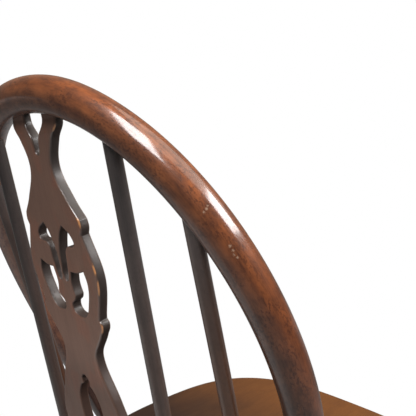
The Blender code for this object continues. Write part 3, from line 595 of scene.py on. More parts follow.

# %% [markdown]
# ## Shapes that are shared
#
# The drawing's own middle is the line between the bow's feet, and it is moved to the frame's origin. A
# finished piece is a plain mesh that carries its wood, rides on the one body and replaces its solid.

# %% Drawing sizes
SEAT_HEIGHT = 0.440
SEAT_THICKNESS = 0.038
SEAT_HALF_WIDTH = 0.2059
SEAT_WIDEST_Y = -0.110
SEAT_FRONT_Y = -0.3001
SPLAT_FOOT_Y = 0.0992
SEAT_BACK_MARGIN = 0.029
SEAT_BACK_Y = SPLAT_FOOT_Y + SEAT_BACK_MARGIN
UNDERSIDE = SEAT_HEIGHT - SEAT_THICKNESS
BOW_RADIUS = 0.013
BOW_POLISH = 0.0002
BOW_CROWN_SWELL = 0.0007
BOW_LEAN = math.radians(23.2)
BOW_RISE = 0.4432
ORIGIN_Y = -(SEAT_FRONT_Y + BOW_RISE * math.sin(BOW_LEAN) + BOW_RADIUS + BOW_CROWN_SWELL) / 2.0
TO_FRAME = Matrix.Translation((0.0, ORIGIN_Y, 0.0))
SIDES = {"left": 1, "right": -1}
BODY = "root"


def smooth_step(share):
    share = min(max(share, 0.0), 1.0)
    return share * share * (3.0 - 2.0 * share)


def plain_mesh(thing):
    """What a curve or a modifier makes, as a mesh of its own."""
    graph = bpy.context.evaluated_depsgraph_get()
    made = thing.evaluated_get(graph)
    return bpy.data.meshes.new_from_object(made, preserve_all_data_layers=True, depsgraph=graph)


def mesh_of(bm, name, wood, to_frame):
    """Ends a bmesh as a mesh that stands in the frame and has its wood."""
    mesh = bpy.data.meshes.new(name)
    bm.to_mesh(mesh)
    bm.free()
    mesh.transform(to_frame)
    mesh.materials.append(wood)
    return mesh


def finish_piece(name, mesh, node):
    piece = add_object(name, mesh)
    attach(piece, BODY)
    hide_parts(node)
    print(name, "stands for", node, "with", len(mesh.polygons), "faces")


# %% [markdown]
# ## Rods
#
# The bow is a steamed and bent rod, and the sticks, legs and rails are turned on a lathe. All are a round
# section that follows a path while its radius swells and narrows, so one Geometry Nodes tree makes them all.
# The path is a chain of points with a swell for each, and the tree stores the grain of the straight stick.

# %% Rod tree


def capture(curve, value, name):
    """Notes a value on a curve. Returns the curve and the note, which outlives it."""
    node = curve.id_data.nodes.new("GeometryNodeCaptureAttribute")
    node.capture_items.new("FLOAT", name)
    link(curve, node.inputs[0])
    link(value, node.inputs[1])
    return node.outputs[0], node.outputs[1]


def make_rod_tree():
    inputs = {"Path": "Geometry", "Rod Radius": "Float", "Sides": "Int", "Pith Offset": "Vector",
              "Wood": "Material"}
    tree, given, out = new_group("bent_rod", inputs, {"Rod": "Geometry"}, "GeometryNodeTree")
    swell = put(tree, "GeometryNodeInputNamedAttribute", {"Name": "swell"}, data_type="FLOAT")["Attribute"]
    radius = times(swell, given["Rod Radius"])
    chain = put(tree, "GeometryNodeMeshToCurve", {"Mesh": given["Path"]})[0]
    chain, along = capture(chain, put(tree, "GeometryNodeSplineParameter")["Length"], "along")
    ring = put(tree, "GeometryNodeCurvePrimitiveCircle", {"Resolution": given["Sides"], "Radius": 1.0})[0]
    ring, around = capture(ring, put(tree, "GeometryNodeSplineParameter")["Factor"], "around")
    skin = put(tree, "GeometryNodeCurveToMesh", {"Curve": chain, "Profile Curve": ring, "Scale": radius,
                                                 "Fill Caps": True})[0]
    angle = times(around, 2.0 * math.pi)
    across, deep = times(math_of("COSINE", angle), radius), times(math_of("SINE", angle), radius)
    stick = put(tree, "ShaderNodeCombineXYZ", {0: across, 1: deep, 2: along})[0]
    grain = vector_of("ADD", stick, given["Pith Offset"])
    stored = put(tree, "GeometryNodeStoreNamedAttribute", {"Geometry": skin, "Name": "grain", "Value": grain},
                 data_type="FLOAT_VECTOR", domain="POINT")[0]
    whole = put(tree, "GeometryNodeRealizeInstances", {"Geometry": stored})[0]
    wood = put(tree, "GeometryNodeSetMaterial", {"Geometry": whole, "Material": given["Wood"]})[0]
    link(wood, out["Rod"])
    return tree


rod_tree = make_rod_tree()
rod_inputs = {item.name: item.identifier for item in rod_tree.interface.items_tree if item.in_out == "INPUT"}
print("rod tree inputs:", list(rod_inputs))

# %% Rod maker
SHARP_ANGLE = math.radians(38.0)


def rod_mesh(name, path, radii, wood, sides, pith):
    """A rod along a path of points in the drawing, one radius for each point."""
    full = max(radii)
    mesh = bpy.data.meshes.new(name + "_path")
    mesh.from_pydata(path, [(i, i + 1) for i in range(len(path) - 1)], [])
    swell = mesh.attributes.new("swell", "FLOAT", "POINT")
    swell.data.foreach_set("value", [radius / full for radius in radii])
    holder = add_object(name + "_path", mesh)
    modifier = holder.modifiers.new("bent_rod", "NODES")
    modifier.node_group = rod_tree
    for label, value in {"Rod Radius": full, "Sides": sides, "Pith Offset": pith, "Wood": wood}.items():
        modifier[rod_inputs[label]] = value
    rod = plain_mesh(holder)
    bpy.data.objects.remove(holder, do_unlink=True)
    rod.transform(TO_FRAME)
    return rod


def from_log(pith, step, number):
    """The pith of a piece that is cut from another place in the log."""
    return tuple(Vector(pith) + Vector(step) * number)


def saw_level(mesh, height):
    """Saws a piece off level, and closes the cut."""
    bm = bmesh.new()
    bm.from_mesh(mesh)
    everything = bm.verts[:] + bm.edges[:] + bm.faces[:]
    cut = bmesh.ops.bisect_plane(bm, geom=everything, plane_co=(0.0, 0.0, height), plane_no=(0.0, 0.0, 1.0),
                                 clear_inner=True)
    bmesh.ops.edgenet_fill(bm, edges=[e for e in cut["geom_cut"] if isinstance(e, bmesh.types.BMEdge)])
    bmesh.ops.recalc_face_normals(bm, faces=bm.faces)
    bm.to_mesh(mesh)
    bm.free()


def polish(mesh):
    mesh.shade_smooth()
    mesh.set_sharp_from_angle(angle=SHARP_ANGLE)
    return mesh


# %% [markdown]
# ## Bow
#
# The bow rises from the seat, is widest a little above half its height and comes over in a round crown. It
# is drawn in a flat plane as two curves on each side, and that plane leans back. It is a hair fatter than
# its solid, with the polish, and its feet are thinned to tenons that go right through the seat and stand a
# hair proud under it.

# %% Bow
BOW_HALF_WIDTH = 0.1878
BOW_WIDEST_RISE = 0.2385
BOW_FOOT_HALF_WIDTH = 0.135
BOW_FOOT_TOE_IN = math.radians(14.0)
BOW_CROWN_REACH = 0.1005
BOW_SHOULDER_REACH = 0.1261
BOW_FLANK_REACH = 0.075
BOW_FOOT_REACH = 0.072
BOW_TENON_RADIUS = 0.010
BOW_TENON_RISE = 0.010
BOW_TAPER_RISE = 0.055
BOW_CROWN_LIFT = 0.0005
BOW_SWELL_START = 0.03
BOW_SWELL_END = 0.11
BOW_STEPS = 80
BOW_SIDES = 56
BOW_BELOW = 0.060
TENON_PROUD = 0.0004
BOW_PITH = (0.031, 0.012, 0.0)
BOW_FOOT = Vector((BOW_FOOT_HALF_WIDTH, 0.0))
BOW_FOOT_DIRECTION = Vector((math.sin(BOW_FOOT_TOE_IN), math.cos(BOW_FOOT_TOE_IN)))
BOW_WIDEST = Vector((BOW_HALF_WIDTH, BOW_WIDEST_RISE))
BOW_CROWN = Vector((0.0, BOW_RISE))
BOW_FRAME = Matrix.Translation((0.0, 0.0, SEAT_HEIGHT)) @ Matrix.Rotation(math.pi / 2.0 - BOW_LEAN, 4, "X")


def bezier(a, b, c, d, t):
    u = 1.0 - t
    return a * u ** 3 + b * 3 * u * u * t + c * 3 * u * t * t + d * t ** 3


def bow_flank(t):
    leave = BOW_FOOT + BOW_FOOT_DIRECTION * BOW_FOOT_REACH
    return bezier(BOW_FOOT, leave, BOW_WIDEST - Vector((0.0, BOW_FLANK_REACH)), BOW_WIDEST, t)


def bow_shoulder(t):
    leave = BOW_WIDEST + Vector((0.0, BOW_SHOULDER_REACH))
    return bezier(BOW_WIDEST, leave, BOW_CROWN + Vector((BOW_CROWN_REACH, 0.0)), BOW_CROWN, t)


def bow_radius(rise):
    share = (rise - BOW_TENON_RISE) / (BOW_TAPER_RISE - BOW_TENON_RISE)
    return BOW_TENON_RADIUS + (BOW_RADIUS + BOW_POLISH - BOW_TENON_RADIUS) * smooth_step(share)


def on_bow(point, side=1.0):
    return BOW_FRAME @ Vector((side * point.x, point.y, 0.0))


def crown_share(point):
    """1 over the crown and 0 from the widest part down."""
    if point.y < BOW_WIDEST_RISE:
        return 0.0
    return smooth_step((BOW_SWELL_END - abs(point.x)) / (BOW_SWELL_END - BOW_SWELL_START))


def make_bow():
    half = [BOW_FOOT - BOW_FOOT_DIRECTION * BOW_BELOW]
    half += [bow_flank(i / BOW_STEPS) for i in range(BOW_STEPS)]
    half += [bow_shoulder(i / BOW_STEPS) for i in range(BOW_STEPS)]
    whole = half + [BOW_CROWN] + [Vector((-p.x, p.y)) for p in reversed(half)]
    radii = [bow_radius(p.y) + BOW_CROWN_SWELL * crown_share(p) for p in whole]
    path = [on_bow(Vector((p.x, p.y + BOW_CROWN_LIFT * crown_share(p)))) for p in whole]
    mesh = rod_mesh("bow", path, radii, bow_wood, BOW_SIDES, BOW_PITH)
    saw_level(mesh, UNDERSIDE - TENON_PROUD)
    finish_piece("bow_rod", polish(mesh), "bow")


make_bow()

# %% [markdown]
# ## Sticks
#
# Two plain sticks stand on each side of the splat. They are straight and taper a little upwards, from a
# blind hole in the seat to one in the bow. Each one is cut from another place in the log.

# %% Sticks
STICK_SEAT_RADIUS = 0.0061
STICK_BOW_RADIUS = 0.0057
STICK_SEAT_DEPTH = 0.024
STICK_BOW_DEPTH = 0.011
STICK_STEPS = 24
STICK_SIDES = 36
STICKS = {
    "inner": {"foot": (0.0876, 0.0886), "top": 0.0889, "pith": (0.021, 0.033, 0.0)},
    "outer": {"foot": (0.1334, 0.0530), "top": 0.1436, "pith": (0.044, -0.027, 1.3)},
}
STICK_LOG_STEP = (0.05, 0.0, 0.7)
SEARCH_STEPS = 40


def bow_at(half_width):
    """The point on the bow's shoulder this far from the middle, found by halving."""
    low, high = 0.0, 1.0
    for _ in range(SEARCH_STEPS):
        middle = (low + high) / 2.0
        if bow_shoulder(middle).x > half_width:
            low = middle
        else:
            high = middle
    return bow_shoulder(low)


def make_stick(place, side_name, sizes, pith):
    side = SIDES[side_name]
    foot = Vector((side * sizes["foot"][0], sizes["foot"][1], SEAT_HEIGHT))
    top = on_bow(bow_at(sizes["top"]), side)
    axis = (top - foot).normalized()
    start = foot - axis * STICK_SEAT_DEPTH
    end = top - axis * (BOW_RADIUS - STICK_BOW_DEPTH)
    shares = [i / STICK_STEPS for i in range(STICK_STEPS + 1)]
    path = [start.lerp(end, share) for share in shares]
    radii = [STICK_SEAT_RADIUS + (STICK_BOW_RADIUS - STICK_SEAT_RADIUS) * share for share in shares]
    name = place + "_" + side_name
    mesh = rod_mesh(name, path, radii, stick_wood, STICK_SIDES, pith)
    finish_piece("stick_" + name, polish(mesh), "spindle_" + name)


for number, side_name in enumerate(SIDES):
    for place, sizes in STICKS.items():
        make_stick(place, side_name, sizes, from_log(sizes["pith"], STICK_LOG_STEP, number))


# %% [markdown]
# ## Splat
#
# The splat is a thin board, fretted with a saw. Its outline, the four openings round the thistle and the
# keyhole are closed curves through points given as half a width and a drop below the crown. The board is
# laid up from them ring by ring, so that every arris is rounded and knows that it is one. The top is sprung
# forward a little and its prongs are pared at the back, to enter the bow.

# %% Splat drawing
SPLAT_THICKNESS = 0.0085
SPLAT_ARRIS = 0.0018
OPENING_ARRIS = 0.0012
OPENING_BRIGHTNESS = 0.1
SPLAT_ARRIS_STEPS = 4
SPLAT_CURVE_STEPS = 14
SPLAT_FOOT_HALF_WIDTH = 0.030
SPLAT_FOOT_DEPTH = 0.022
SPLAT_FOOT_FLARE_RISE = 0.012
SPLAT_BEND = 0.0008
SPLAT_BEND_DROP = 0.115
PRONG_OUTER = 0.0346
PRONG_INNER = 0.0140
PRONG_DEPTH = 0.010
PRONG_TENON_DROP = 0.0178
PRONG_PARING = 0.0017
PRONG_PARING_DROP = 0.028
PRONG_HIP_DROP = 0.0205
PRONG_CROTCH_DROP = 0.0185
SPLAT_CROTCH_DROP = 0.0445
UPRIGHT_PULL = 0.36
HANDLES = {"corner": "VECTOR", "smooth": "AUTO", "upright": "FREE"}
SPLAT_FOOT = Vector((0.0, SPLAT_FOOT_Y, SEAT_HEIGHT))
SPLAT_TOP = on_bow(BOW_CROWN)
SPLAT_LENGTH = (SPLAT_TOP - SPLAT_FOOT).length
SPLAT_LEAN = math.atan2(SPLAT_TOP.y - SPLAT_FOOT.y, SPLAT_TOP.z - SPLAT_FOOT.z)
SPLAT_FRAME = Matrix.Translation(SPLAT_FOOT) @ Matrix.Rotation(math.pi / 2.0 - SPLAT_LEAN, 4, "X")
PRONG_TOP = SPLAT_LENGTH - BOW_RADIUS + PRONG_DEPTH


def smooth(half, drop):
    return (half, SPLAT_LENGTH - drop, "smooth")


def corner(half, drop):
    return (half, SPLAT_LENGTH - drop, "corner")


def upright(half, drop):
    return (half, SPLAT_LENGTH - drop, "upright")


def mirrored(points):
    return [(-x, y, bend) for x, y, bend in reversed(points)]


OUTLINE_HALF = [
    (SPLAT_FOOT_HALF_WIDTH, -SPLAT_FOOT_DEPTH, "corner"),
    (SPLAT_FOOT_HALF_WIDTH, SPLAT_FOOT_FLARE_RISE, "upright"),
    upright(0.0525, 0.2870), smooth(0.0402, 0.2490), upright(0.0257, 0.2120), smooth(0.0399, 0.1880),
    smooth(0.0454, 0.1785), smooth(0.0448, 0.1750), corner(0.0428, 0.1730), upright(0.0521, 0.1385),
    corner(0.0412, 0.1043), smooth(0.0432, 0.0990), corner(0.0422, 0.0925), smooth(0.0305, 0.0785),
    upright(0.0175, 0.0530), smooth(0.0248, 0.0335),
    upright(PRONG_OUTER, PRONG_HIP_DROP), (PRONG_OUTER, PRONG_TOP, "corner"),
    (PRONG_INNER, PRONG_TOP, "corner"), upright(PRONG_INNER, PRONG_CROTCH_DROP), smooth(0.0056, 0.0315),
]
OUTLINE = OUTLINE_HALF + [smooth(0.0, SPLAT_CROTCH_DROP)] + mirrored(OUTLINE_HALF)
THISTLE_UPPER = [
    corner(0.0143, 0.0995), smooth(0.0258, 0.1076), smooth(0.0274, 0.1132), smooth(0.0146, 0.1174),
    smooth(0.0108, 0.1310), smooth(0.0086, 0.1425), smooth(0.00515, 0.1472), smooth(0.0017, 0.1440),
    upright(0.0018, 0.1315), smooth(0.0084, 0.1070),
]
THISTLE_LOWER = [
    corner(0.0138, 0.1376), smooth(0.0225, 0.1374), corner(0.0337, 0.1341), upright(0.0361, 0.1440),
    smooth(0.0324, 0.1592), smooth(0.0235, 0.1735), smooth(0.0140, 0.1753), smooth(0.0066, 0.1722),
    smooth(0.0062, 0.1668), smooth(0.0120, 0.1616), corner(0.0134, 0.1585), smooth(0.0113, 0.1500),
]
KEYHOLE_HALF = [
    upright(0.0054, 0.2382), corner(0.0044, 0.2426), smooth(0.0105, 0.2472), upright(0.0169, 0.2655),
    smooth(0.0105, 0.3060),
]
KEYHOLE = [smooth(0.0, 0.2336)] + KEYHOLE_HALF + [smooth(0.0, 0.3400)] + mirrored(KEYHOLE_HALF)


def with_neighbours(line):
    """Each point of a closed line, between the one before it and the one after it."""
    return zip(line[-1:] + line[:-1], line, line[1:] + line[:1])


def drawn_line(points):
    """The closed line that Blender draws through the points."""
    curve = bpy.data.curves.new("fret", "CURVE")
    curve.dimensions = "2D"
    curve.fill_mode = "NONE"
    curve.resolution_u = SPLAT_CURVE_STEPS
    spline = curve.splines.new("BEZIER")
    spline.bezier_points.add(len(points) - 1)
    spline.use_cyclic_u = True
    for knot, (before, (x, y, bend), after) in zip(spline.bezier_points, with_neighbours(points)):
        knot.co = (x, y, 0.0)
        knot.handle_left_type = HANDLES[bend]
        knot.handle_right_type = HANDLES[bend]
        if bend == "upright":
            knot.handle_left = (x, y + (before[1] - y) * UPRIGHT_PULL, 0.0)
            knot.handle_right = (x, y + (after[1] - y) * UPRIGHT_PULL, 0.0)
    holder = add_object("fret", curve)
    line = [Vector((v.co.x, v.co.y)) for v in plain_mesh(holder).vertices]
    bpy.data.objects.remove(holder, do_unlink=True)
    return line


def signed_area(line):
    return sum(a.x * b.y - b.x * a.y for a, b in zip(line, line[1:] + line[:1])) / 2.0


def splat_lines():
    """The outline runs anticlockwise and the openings clockwise, so the wood is always on the left."""
    outline = drawn_line(OUTLINE)
    openings = [drawn_line(KEYHOLE)]
    for opening in (THISTLE_UPPER, THISTLE_LOWER):
        openings += [drawn_line(opening), drawn_line(mirrored(opening))]
    lines = [outline if signed_area(outline) > 0.0 else outline[::-1]]
    lines += [line if signed_area(line) < 0.0 else line[::-1] for line in openings]
    return lines


lines = splat_lines()
print("splat:", len(lines), "sawn lines of", [len(line) for line in lines], "points")

# %% Splat board
BEND_SLICE = 0.006
MITRE_LIMIT = 0.4
LINE_STEP = 0.0005
EASING_ROUNDS = 60
EASING_SHARE = 0.5
LEAST_AREA = 1e-12
SLICE_MERGE = 1e-5


def even_line(line):
    """The same closed line with its points at equal steps."""
    lengths = [(b - a).length for a, b in zip(line, line[1:] + line[:1])]
    count = round(sum(lengths) / LINE_STEP)
    step = sum(lengths) / count
    points, walked, wanted = [], 0.0, 0.0
    for i, length in enumerate(lengths):
        while wanted < walked + length and len(points) < count:
            points.append(line[i].lerp(line[(i + 1) % len(line)], (wanted - walked) / length))
            wanted += step
        walked += length
    return points


def ease_corners(line, radius):
    """Rubs down the outward corners of the wood until none is sharper than the radius."""
    for _ in range(EASING_ROUNDS):
        eased = []
        for before, point, after in with_neighbours(line):
            step = (after - before).length / 2.0
            turn = (point - before).cross(after - point) / max(step * step, LEAST_AREA)
            middle = (before + after) / 2.0
            eased.append(point.lerp(middle, EASING_SHARE) if turn > step / radius else point)
        line = eased
    return line


def left_of(step):
    way = step.normalized()
    return Vector((-way.y, way.x))


def inset(line, amount):
    """Moves a closed line into the wood on its left."""
    moved = []
    for before, point, after in with_neighbours(line):
        left_before, left_after = left_of(point - before), left_of(after - point)
        middle = (left_before + left_after).normalized()
        moved.append(point + middle * (amount / max(MITRE_LIMIT, middle.dot(left_after))))
    return moved


def share_up(rise, drop):
    """0 at a drop below the crown, and 1 where the prongs' tenons start."""
    share = (rise - SPLAT_LENGTH + drop) / (drop - PRONG_TENON_DROP)
    return min(max(share, 0.0), 1.0)


def arris_profile(radius):
    """(inset, height over the middle, arris, sawn) of the rings from the back face to the front face."""
    back = []
    for k in range(SPLAT_ARRIS_STEPS + 1):
        angle = math.pi / 2.0 * k / SPLAT_ARRIS_STEPS
        rise = radius * (1.0 - math.cos(angle))
        side = radius * (1.0 - math.sin(angle))
        back.append((side, rise - SPLAT_THICKNESS / 2.0, math.sin(2.0 * angle), math.sin(angle) ** 2))
    return back + [(side, -height, arris, sawn) for side, height, arris, sawn in reversed(back)]


def lay_up_board(bm, lines):
    arris_layer = bm.verts.layers.float.new("arris")
    sawn_layer = bm.verts.layers.float.new("sawn")
    rims = ([], [])
    for number, sawn_line in enumerate(lines):
        radius, bright = (SPLAT_ARRIS, 1.0) if number == 0 else (OPENING_ARRIS, OPENING_BRIGHTNESS)
        line = ease_corners(even_line(sawn_line), radius)
        rings = []
        for side, height, arris, sawn in arris_profile(radius):
            ring = [bm.verts.new((p.x, p.y, height)) for p in inset(line, side)]
            for vert in ring:
                vert[arris_layer] = arris * bright
                vert[sawn_layer] = sawn
            rings.append(ring)
        for lower, upper in zip(rings, rings[1:]):
            for i in range(len(line)):
                face = bm.faces.new((lower[i - 1], lower[i], upper[i], upper[i - 1]))
                face.smooth = True
        for rim, ring in zip(rims, (rings[0], rings[-1])):
            rim.extend(bm.edges.get((ring[i - 1], ring[i])) for i in range(len(line)))
    for edges in rims:
        bmesh.ops.triangle_fill(bm, use_beauty=True, edges=edges)
        for edge in edges:
            edge.smooth = False


def slice_board(bm):
    """Level cuts where the board bends, so that its flat faces can follow."""
    rise = SPLAT_LENGTH - SPLAT_BEND_DROP
    rises = [SPLAT_LENGTH - PRONG_PARING_DROP]
    while rise < SPLAT_LENGTH - PRONG_TENON_DROP:
        rises.append(rise)
        rise += BEND_SLICE
    for rise in rises:
        everything = bm.verts[:] + bm.edges[:] + bm.faces[:]
        bmesh.ops.bisect_plane(bm, geom=everything, dist=SLICE_MERGE, plane_co=(0.0, rise, 0.0),
                               plane_no=(0.0, 1.0, 0.0))


def make_splat():
    bm = bmesh.new()
    lay_up_board(bm, lines)
    slice_board(bm)
    bmesh.ops.recalc_face_normals(bm, faces=bm.faces)
    grain_layer = bm.verts.layers.float_vector.new("grain")
    for vert in bm.verts:
        x, y, z = vert.co
        vert[grain_layer] = (x, z, y)
        vert.co.z += SPLAT_BEND * share_up(y, SPLAT_BEND_DROP) ** 2
        if z < 0.0:
            vert.co.z += PRONG_PARING * share_up(y, PRONG_PARING_DROP)
    mesh = mesh_of(bm, "splat_board", splat_wood, TO_FRAME @ SPLAT_FRAME)
    finish_piece("splat_board", mesh, "splat")


make_splat()

# %% [markdown]
# ## Seat
#
# The seat is a thick board sawn to a rounded shield, with its top edge rolled over, its underside shaved
# back and a shallow dish. Rings of the outline are stacked from the middle of the dish over the edge to the
# underside. The fibres run from front to back.

# %% Seat
SEAT_FRONT_SQUARENESS = 2.82
SEAT_BACK_SQUARENESS = 2.44
SEAT_EDGE_RADIUS = 0.009
SEAT_UNDERCUT = 0.016
SEAT_UNDERCUT_HEIGHT = 0.018
SEAT_BREAK = 0.002
# The two edges of the undercut are broken by rings, each so many breaks inwards and so many up
SEAT_UPPER_BREAK = ((0.0, 1.0), (0.1, 0.3), (0.5, -0.4))
SEAT_LOWER_BREAK = ((-SEAT_UNDERCUT / SEAT_UNDERCUT_HEIGHT, 1.0), (-0.2, 0.5), (0.8, 0.0))
SEAT_DISH_DEPTH = 0.008
SEAT_DISH_HALF_WIDTH = 0.175
SEAT_DISH_HALF_LENGTH = 0.155
SEAT_DISH_Y = -0.120
SEAT_DISH_SOFTNESS = 1.5
SEAT_SEGMENTS = 200
SEAT_TOP_RINGS = 36
SEAT_EDGE_STEPS = 10


def seat_edge(angle):
    """The point on the outline at an angle round the widest line, and the outward direction there."""
    across, along = math.cos(angle), math.sin(angle)
    back = along > 0.0
    length = SEAT_BACK_Y - SEAT_WIDEST_Y if back else SEAT_WIDEST_Y - SEAT_FRONT_Y
    power = SEAT_BACK_SQUARENESS if back else SEAT_FRONT_SQUARENESS
    across_share, length_share = abs(across) / SEAT_HALF_WIDTH, abs(along) / length
    reach = (across_share ** power + length_share ** power) ** (-1.0 / power)
    normal = Vector((math.copysign(across_share ** (power - 1.0) / SEAT_HALF_WIDTH, across),
                     math.copysign(length_share ** (power - 1.0) / length, along)))
    return Vector((across * reach, SEAT_WIDEST_Y + along * reach)), normal.normalized()


def seat_ring(edges, amount, height, scale=1.0):
    centre = Vector((0.0, SEAT_WIDEST_Y))
    ring = []
    for edge, normal in edges:
        point = centre + (edge - normal * amount - centre) * scale
        ring.append(Vector((point.x, point.y, height)))
    return ring


def dish_depth(point):
    across = point.x / SEAT_DISH_HALF_WIDTH
    length = (point.y - SEAT_DISH_Y) / SEAT_DISH_HALF_LENGTH
    return SEAT_DISH_DEPTH * max(0.0, 1.0 - across * across - length * length) ** SEAT_DISH_SOFTNESS


def seat_rings():
    edges = [seat_edge(2.0 * math.pi * i / SEAT_SEGMENTS) for i in range(SEAT_SEGMENTS)]
    shares = [(i + 1) / SEAT_TOP_RINGS for i in range(SEAT_TOP_RINGS)]
    rings = [seat_ring(edges, SEAT_EDGE_RADIUS, SEAT_HEIGHT, share) for share in shares]
    for ring in rings:
        for point in ring:
            point.z -= dish_depth(point)
    for i in range(1, SEAT_EDGE_STEPS + 1):
        angle = math.pi / 2.0 * i / SEAT_EDGE_STEPS
        rings.append(seat_ring(edges, SEAT_EDGE_RADIUS * (1.0 - math.sin(angle)),
                               SEAT_HEIGHT - SEAT_EDGE_RADIUS * (1.0 - math.cos(angle))))
    for amount, up in SEAT_UPPER_BREAK:
        height = UNDERSIDE + SEAT_UNDERCUT_HEIGHT + up * SEAT_BREAK
        rings.append(seat_ring(edges, amount * SEAT_BREAK, height))
    for amount, up in SEAT_LOWER_BREAK:
        rings.append(seat_ring(edges, SEAT_UNDERCUT + amount * SEAT_BREAK, UNDERSIDE + up * SEAT_BREAK))
    return rings


def make_seat():
    bm = bmesh.new()
    grain_layer = bm.verts.layers.float_vector.new("grain")
    loops = [[bm.verts.new(point) for point in ring] for ring in seat_rings()]
    for upper, lower in zip(loops, loops[1:]):
        for i in range(len(upper)):
            bm.faces.new((upper[i - 1], lower[i - 1], lower[i], upper[i]))
    bm.faces.new(loops[0])
    bm.faces.new(loops[-1][::-1])
    bmesh.ops.recalc_face_normals(bm, faces=bm.faces)
    for vert in bm.verts:
        vert[grain_layer] = (vert.co.x, vert.co.z, vert.co.y)
    mesh = mesh_of(bm, "seat_slab", seat_wood, TO_FRAME)
    finish_piece("seat_slab", polish(mesh), "seat")


make_seat()

# %% [markdown]
# ## Legs and rails
#
# The photograph stops at the seat, so the legs are what such chairs have: four splayed turned legs with two
# rings and a vase, and an H of three rails. They use the rod tree, and their radii are eased from one mark
# to the next, as a turner's gouge runs.

# %% Legs and rails
LEG_SIDES = 40
LEG_STEPS = 10
LEG_RING_HALF_HEIGHT = 0.0055
LEG_GROOVE_RADIUS = 0.0132
LEG_RING_RADIUS = 0.0178
LEG_MOUTH_RADIUS = 0.0125
LEG_TENON_RADIUS = 0.0108
LEG_TENON = 0.025
LEG_FOOT_RADIUS = 0.0110
LEG_BELOW_FLOOR = 0.015
# Each turning is a drop under the seat and a radius there
LEG_NECK = (0.092, 0.0160)
LEG_UPPER_RING_DROP = 0.104
LEG_VASE = (0.212, 0.0190)
LEG_LOWER_RING_DROP = 0.292
LEG_ANKLE = (0.318, 0.0155)
# Each end of a leg is so far in from the side of the seat and so far back from its front or back edge
LEGS = {
    "front": {"edge": SEAT_FRONT_Y, "top": (0.057, 0.088), "foot": (0.023, 0.041), "pith": (0.04, 0.0, 0.0)},
    "rear": {"edge": SEAT_BACK_Y, "top": (0.102, -0.0982), "foot": (0.055, 0.0218), "pith": (0.09, 0.0, 0.5)},
}
LEG_LOG_STEP = (0.0, 0.06, 0.0)
RAIL_HEIGHT = 0.188
RAIL_TENON = 0.026
RAIL_SETBACK = 0.005
SIDE_RAIL = {"end": 0.0080, "middle": 0.0135}
CROSS_RAIL = {"end": 0.0068, "middle": 0.0130}
SIDE_RAIL_PITH = (0.13, 0.0, 0.0)
CROSS_RAIL_PITH = (0.17, 0.02, 0.0)
RAIL_LOG_STEP = (0.0, 0.05, 0.0)


def eased(stations):
    """Radii that swell and narrow smoothly through (distance, radius) stations."""
    profile = [stations[0]]
    for (near, start), (far, end) in zip(stations, stations[1:]):
        for i in range(1, LEG_STEPS + 1):
            share = i / LEG_STEPS
            profile.append((near + share * (far - near), start + smooth_step(share) * (end - start)))
    return profile


def turned_ring(drop):
    return [(drop - LEG_RING_HALF_HEIGHT, LEG_GROOVE_RADIUS), (drop, LEG_RING_RADIUS),
            (drop + LEG_RING_HALF_HEIGHT, LEG_GROOVE_RADIUS)]


def turned_mesh(name, start, axis, stations, pith):
    path = [start + axis * distance for distance, _ in stations]
    return rod_mesh(name, path, [radius for _, radius in stations], leg_wood, LEG_SIDES, pith)


def leg_ends(sizes, side):
    ends = []
    for end, height in (("top", UNDERSIDE), ("foot", 0.0)):
        inwards, back = sizes[end]
        ends.append(Vector((side * (SEAT_HALF_WIDTH - inwards), sizes["edge"] + back, height)))
    return ends


def make_leg(name, top, foot, pith):
    axis = (foot - top).normalized()
    end = (foot - top).length + LEG_BELOW_FLOOR
    turnings = [LEG_NECK, *turned_ring(LEG_UPPER_RING_DROP), LEG_VASE, *turned_ring(LEG_LOWER_RING_DROP),
                LEG_ANKLE, (end, LEG_FOOT_RADIUS)]
    stations = [(-LEG_TENON, LEG_TENON_RADIUS), (0.0, LEG_MOUTH_RADIUS)] + eased(turnings)
    mesh = turned_mesh(name, top, axis, stations, pith)
    saw_level(mesh, 0.0)
    finish_piece("turned_" + name, polish(mesh), name)


def make_rail(name, start, end, sizes, pith):
    axis = (end - start).normalized()
    near, far = start + axis * RAIL_SETBACK, end - axis * RAIL_SETBACK
    length = (far - near).length
    stations = eased([(0.0, sizes["end"]), (RAIL_TENON, sizes["end"]), (length / 2.0, sizes["middle"]),
                      (length - RAIL_TENON, sizes["end"]), (length, sizes["end"])])
    mesh = turned_mesh(name, near, axis, stations, pith)
    finish_piece("rail_" + name, polish(mesh), "stretcher_" + name)


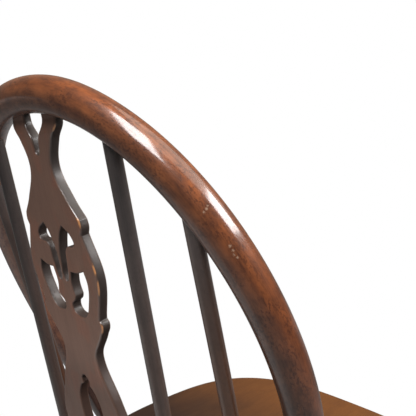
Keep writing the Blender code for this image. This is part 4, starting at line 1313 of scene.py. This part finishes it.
def make_underframe():
    middles = []
    for number, (side_name, side) in enumerate(SIDES.items()):
        rail_ends = []
        for place, sizes in LEGS.items():
            top, foot = leg_ends(sizes, side)
            pith = from_log(sizes["pith"], LEG_LOG_STEP, number)
            make_leg("leg_" + place + "_" + side_name, top, foot, pith)
            rail_ends.append(foot + (top - foot) * (RAIL_HEIGHT / top.z))
        start, end = rail_ends
        make_rail(side_name, start, end, SIDE_RAIL, from_log(SIDE_RAIL_PITH, RAIL_LOG_STEP, number))
        middles.append((start + end) / 2.0)
    make_rail("cross", middles[0], middles[1], CROSS_RAIL, CROSS_RAIL_PITH)


make_underframe()

# %% [markdown]
# ## Wedges
#
# Each bow foot is split from below and a dry wedge is driven in, which spreads the tenon in its hole. Only
# its butt shows, as a pale line across the foot, sawn level and a hair proud of it.

# %% Wedges
WEDGE_LENGTH = 0.020
WEDGE_BUTT = 0.0030
WEDGE_TIP = 0.0010
WEDGE_PROUD = 0.0002
WEDGE_BELOW = 0.012
WEDGE_SIDE_GAP = 0.0006
WEDGE_HALF_WIDTH = BOW_TENON_RADIUS - WEDGE_SIDE_GAP


def make_wedge(side_name, side):
    foot = on_bow(BOW_FOOT, side)
    direction = (on_bow(BOW_FOOT + BOW_FOOT_DIRECTION, side) - foot).normalized()
    exit_point = foot + direction * ((UNDERSIDE - foot.z) / direction.z)
    upright_frame = Matrix.Translation(exit_point) @ direction.to_track_quat("Z", "Y").to_matrix().to_4x4()
    bm = bmesh.new()
    grain_layer = bm.verts.layers.float_vector.new("grain")
    bmesh.ops.create_cube(bm, size=2.0)
    for vert in bm.verts:
        half = (WEDGE_TIP if vert.co.z > 0.0 else WEDGE_BUTT) / 2.0
        height = WEDGE_LENGTH if vert.co.z > 0.0 else -WEDGE_BELOW
        vert.co = (vert.co.x * half, vert.co.y * WEDGE_HALF_WIDTH, height)
        vert[grain_layer] = vert.co
    mesh = mesh_of(bm, "wedge_" + side_name, wedge_wood, TO_FRAME @ upright_frame)
    saw_level(mesh, UNDERSIDE - TENON_PROUD - WEDGE_PROUD)
    finish_piece("wedge_" + side_name, polish(mesh), "bow_wedge_" + side_name)


for side_name, side in SIDES.items():
    make_wedge(side_name, side)


# %% [markdown]
# ## Size
#
# The dressed chair should be as big as its solids, so both boxes are printed.

# %% Size
new_low, new_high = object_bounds()
for name, size in (("solids", cad_high - cad_low), ("dressed", new_high - new_low)):
    print("size of the", name, [round(v, 4) for v in size])
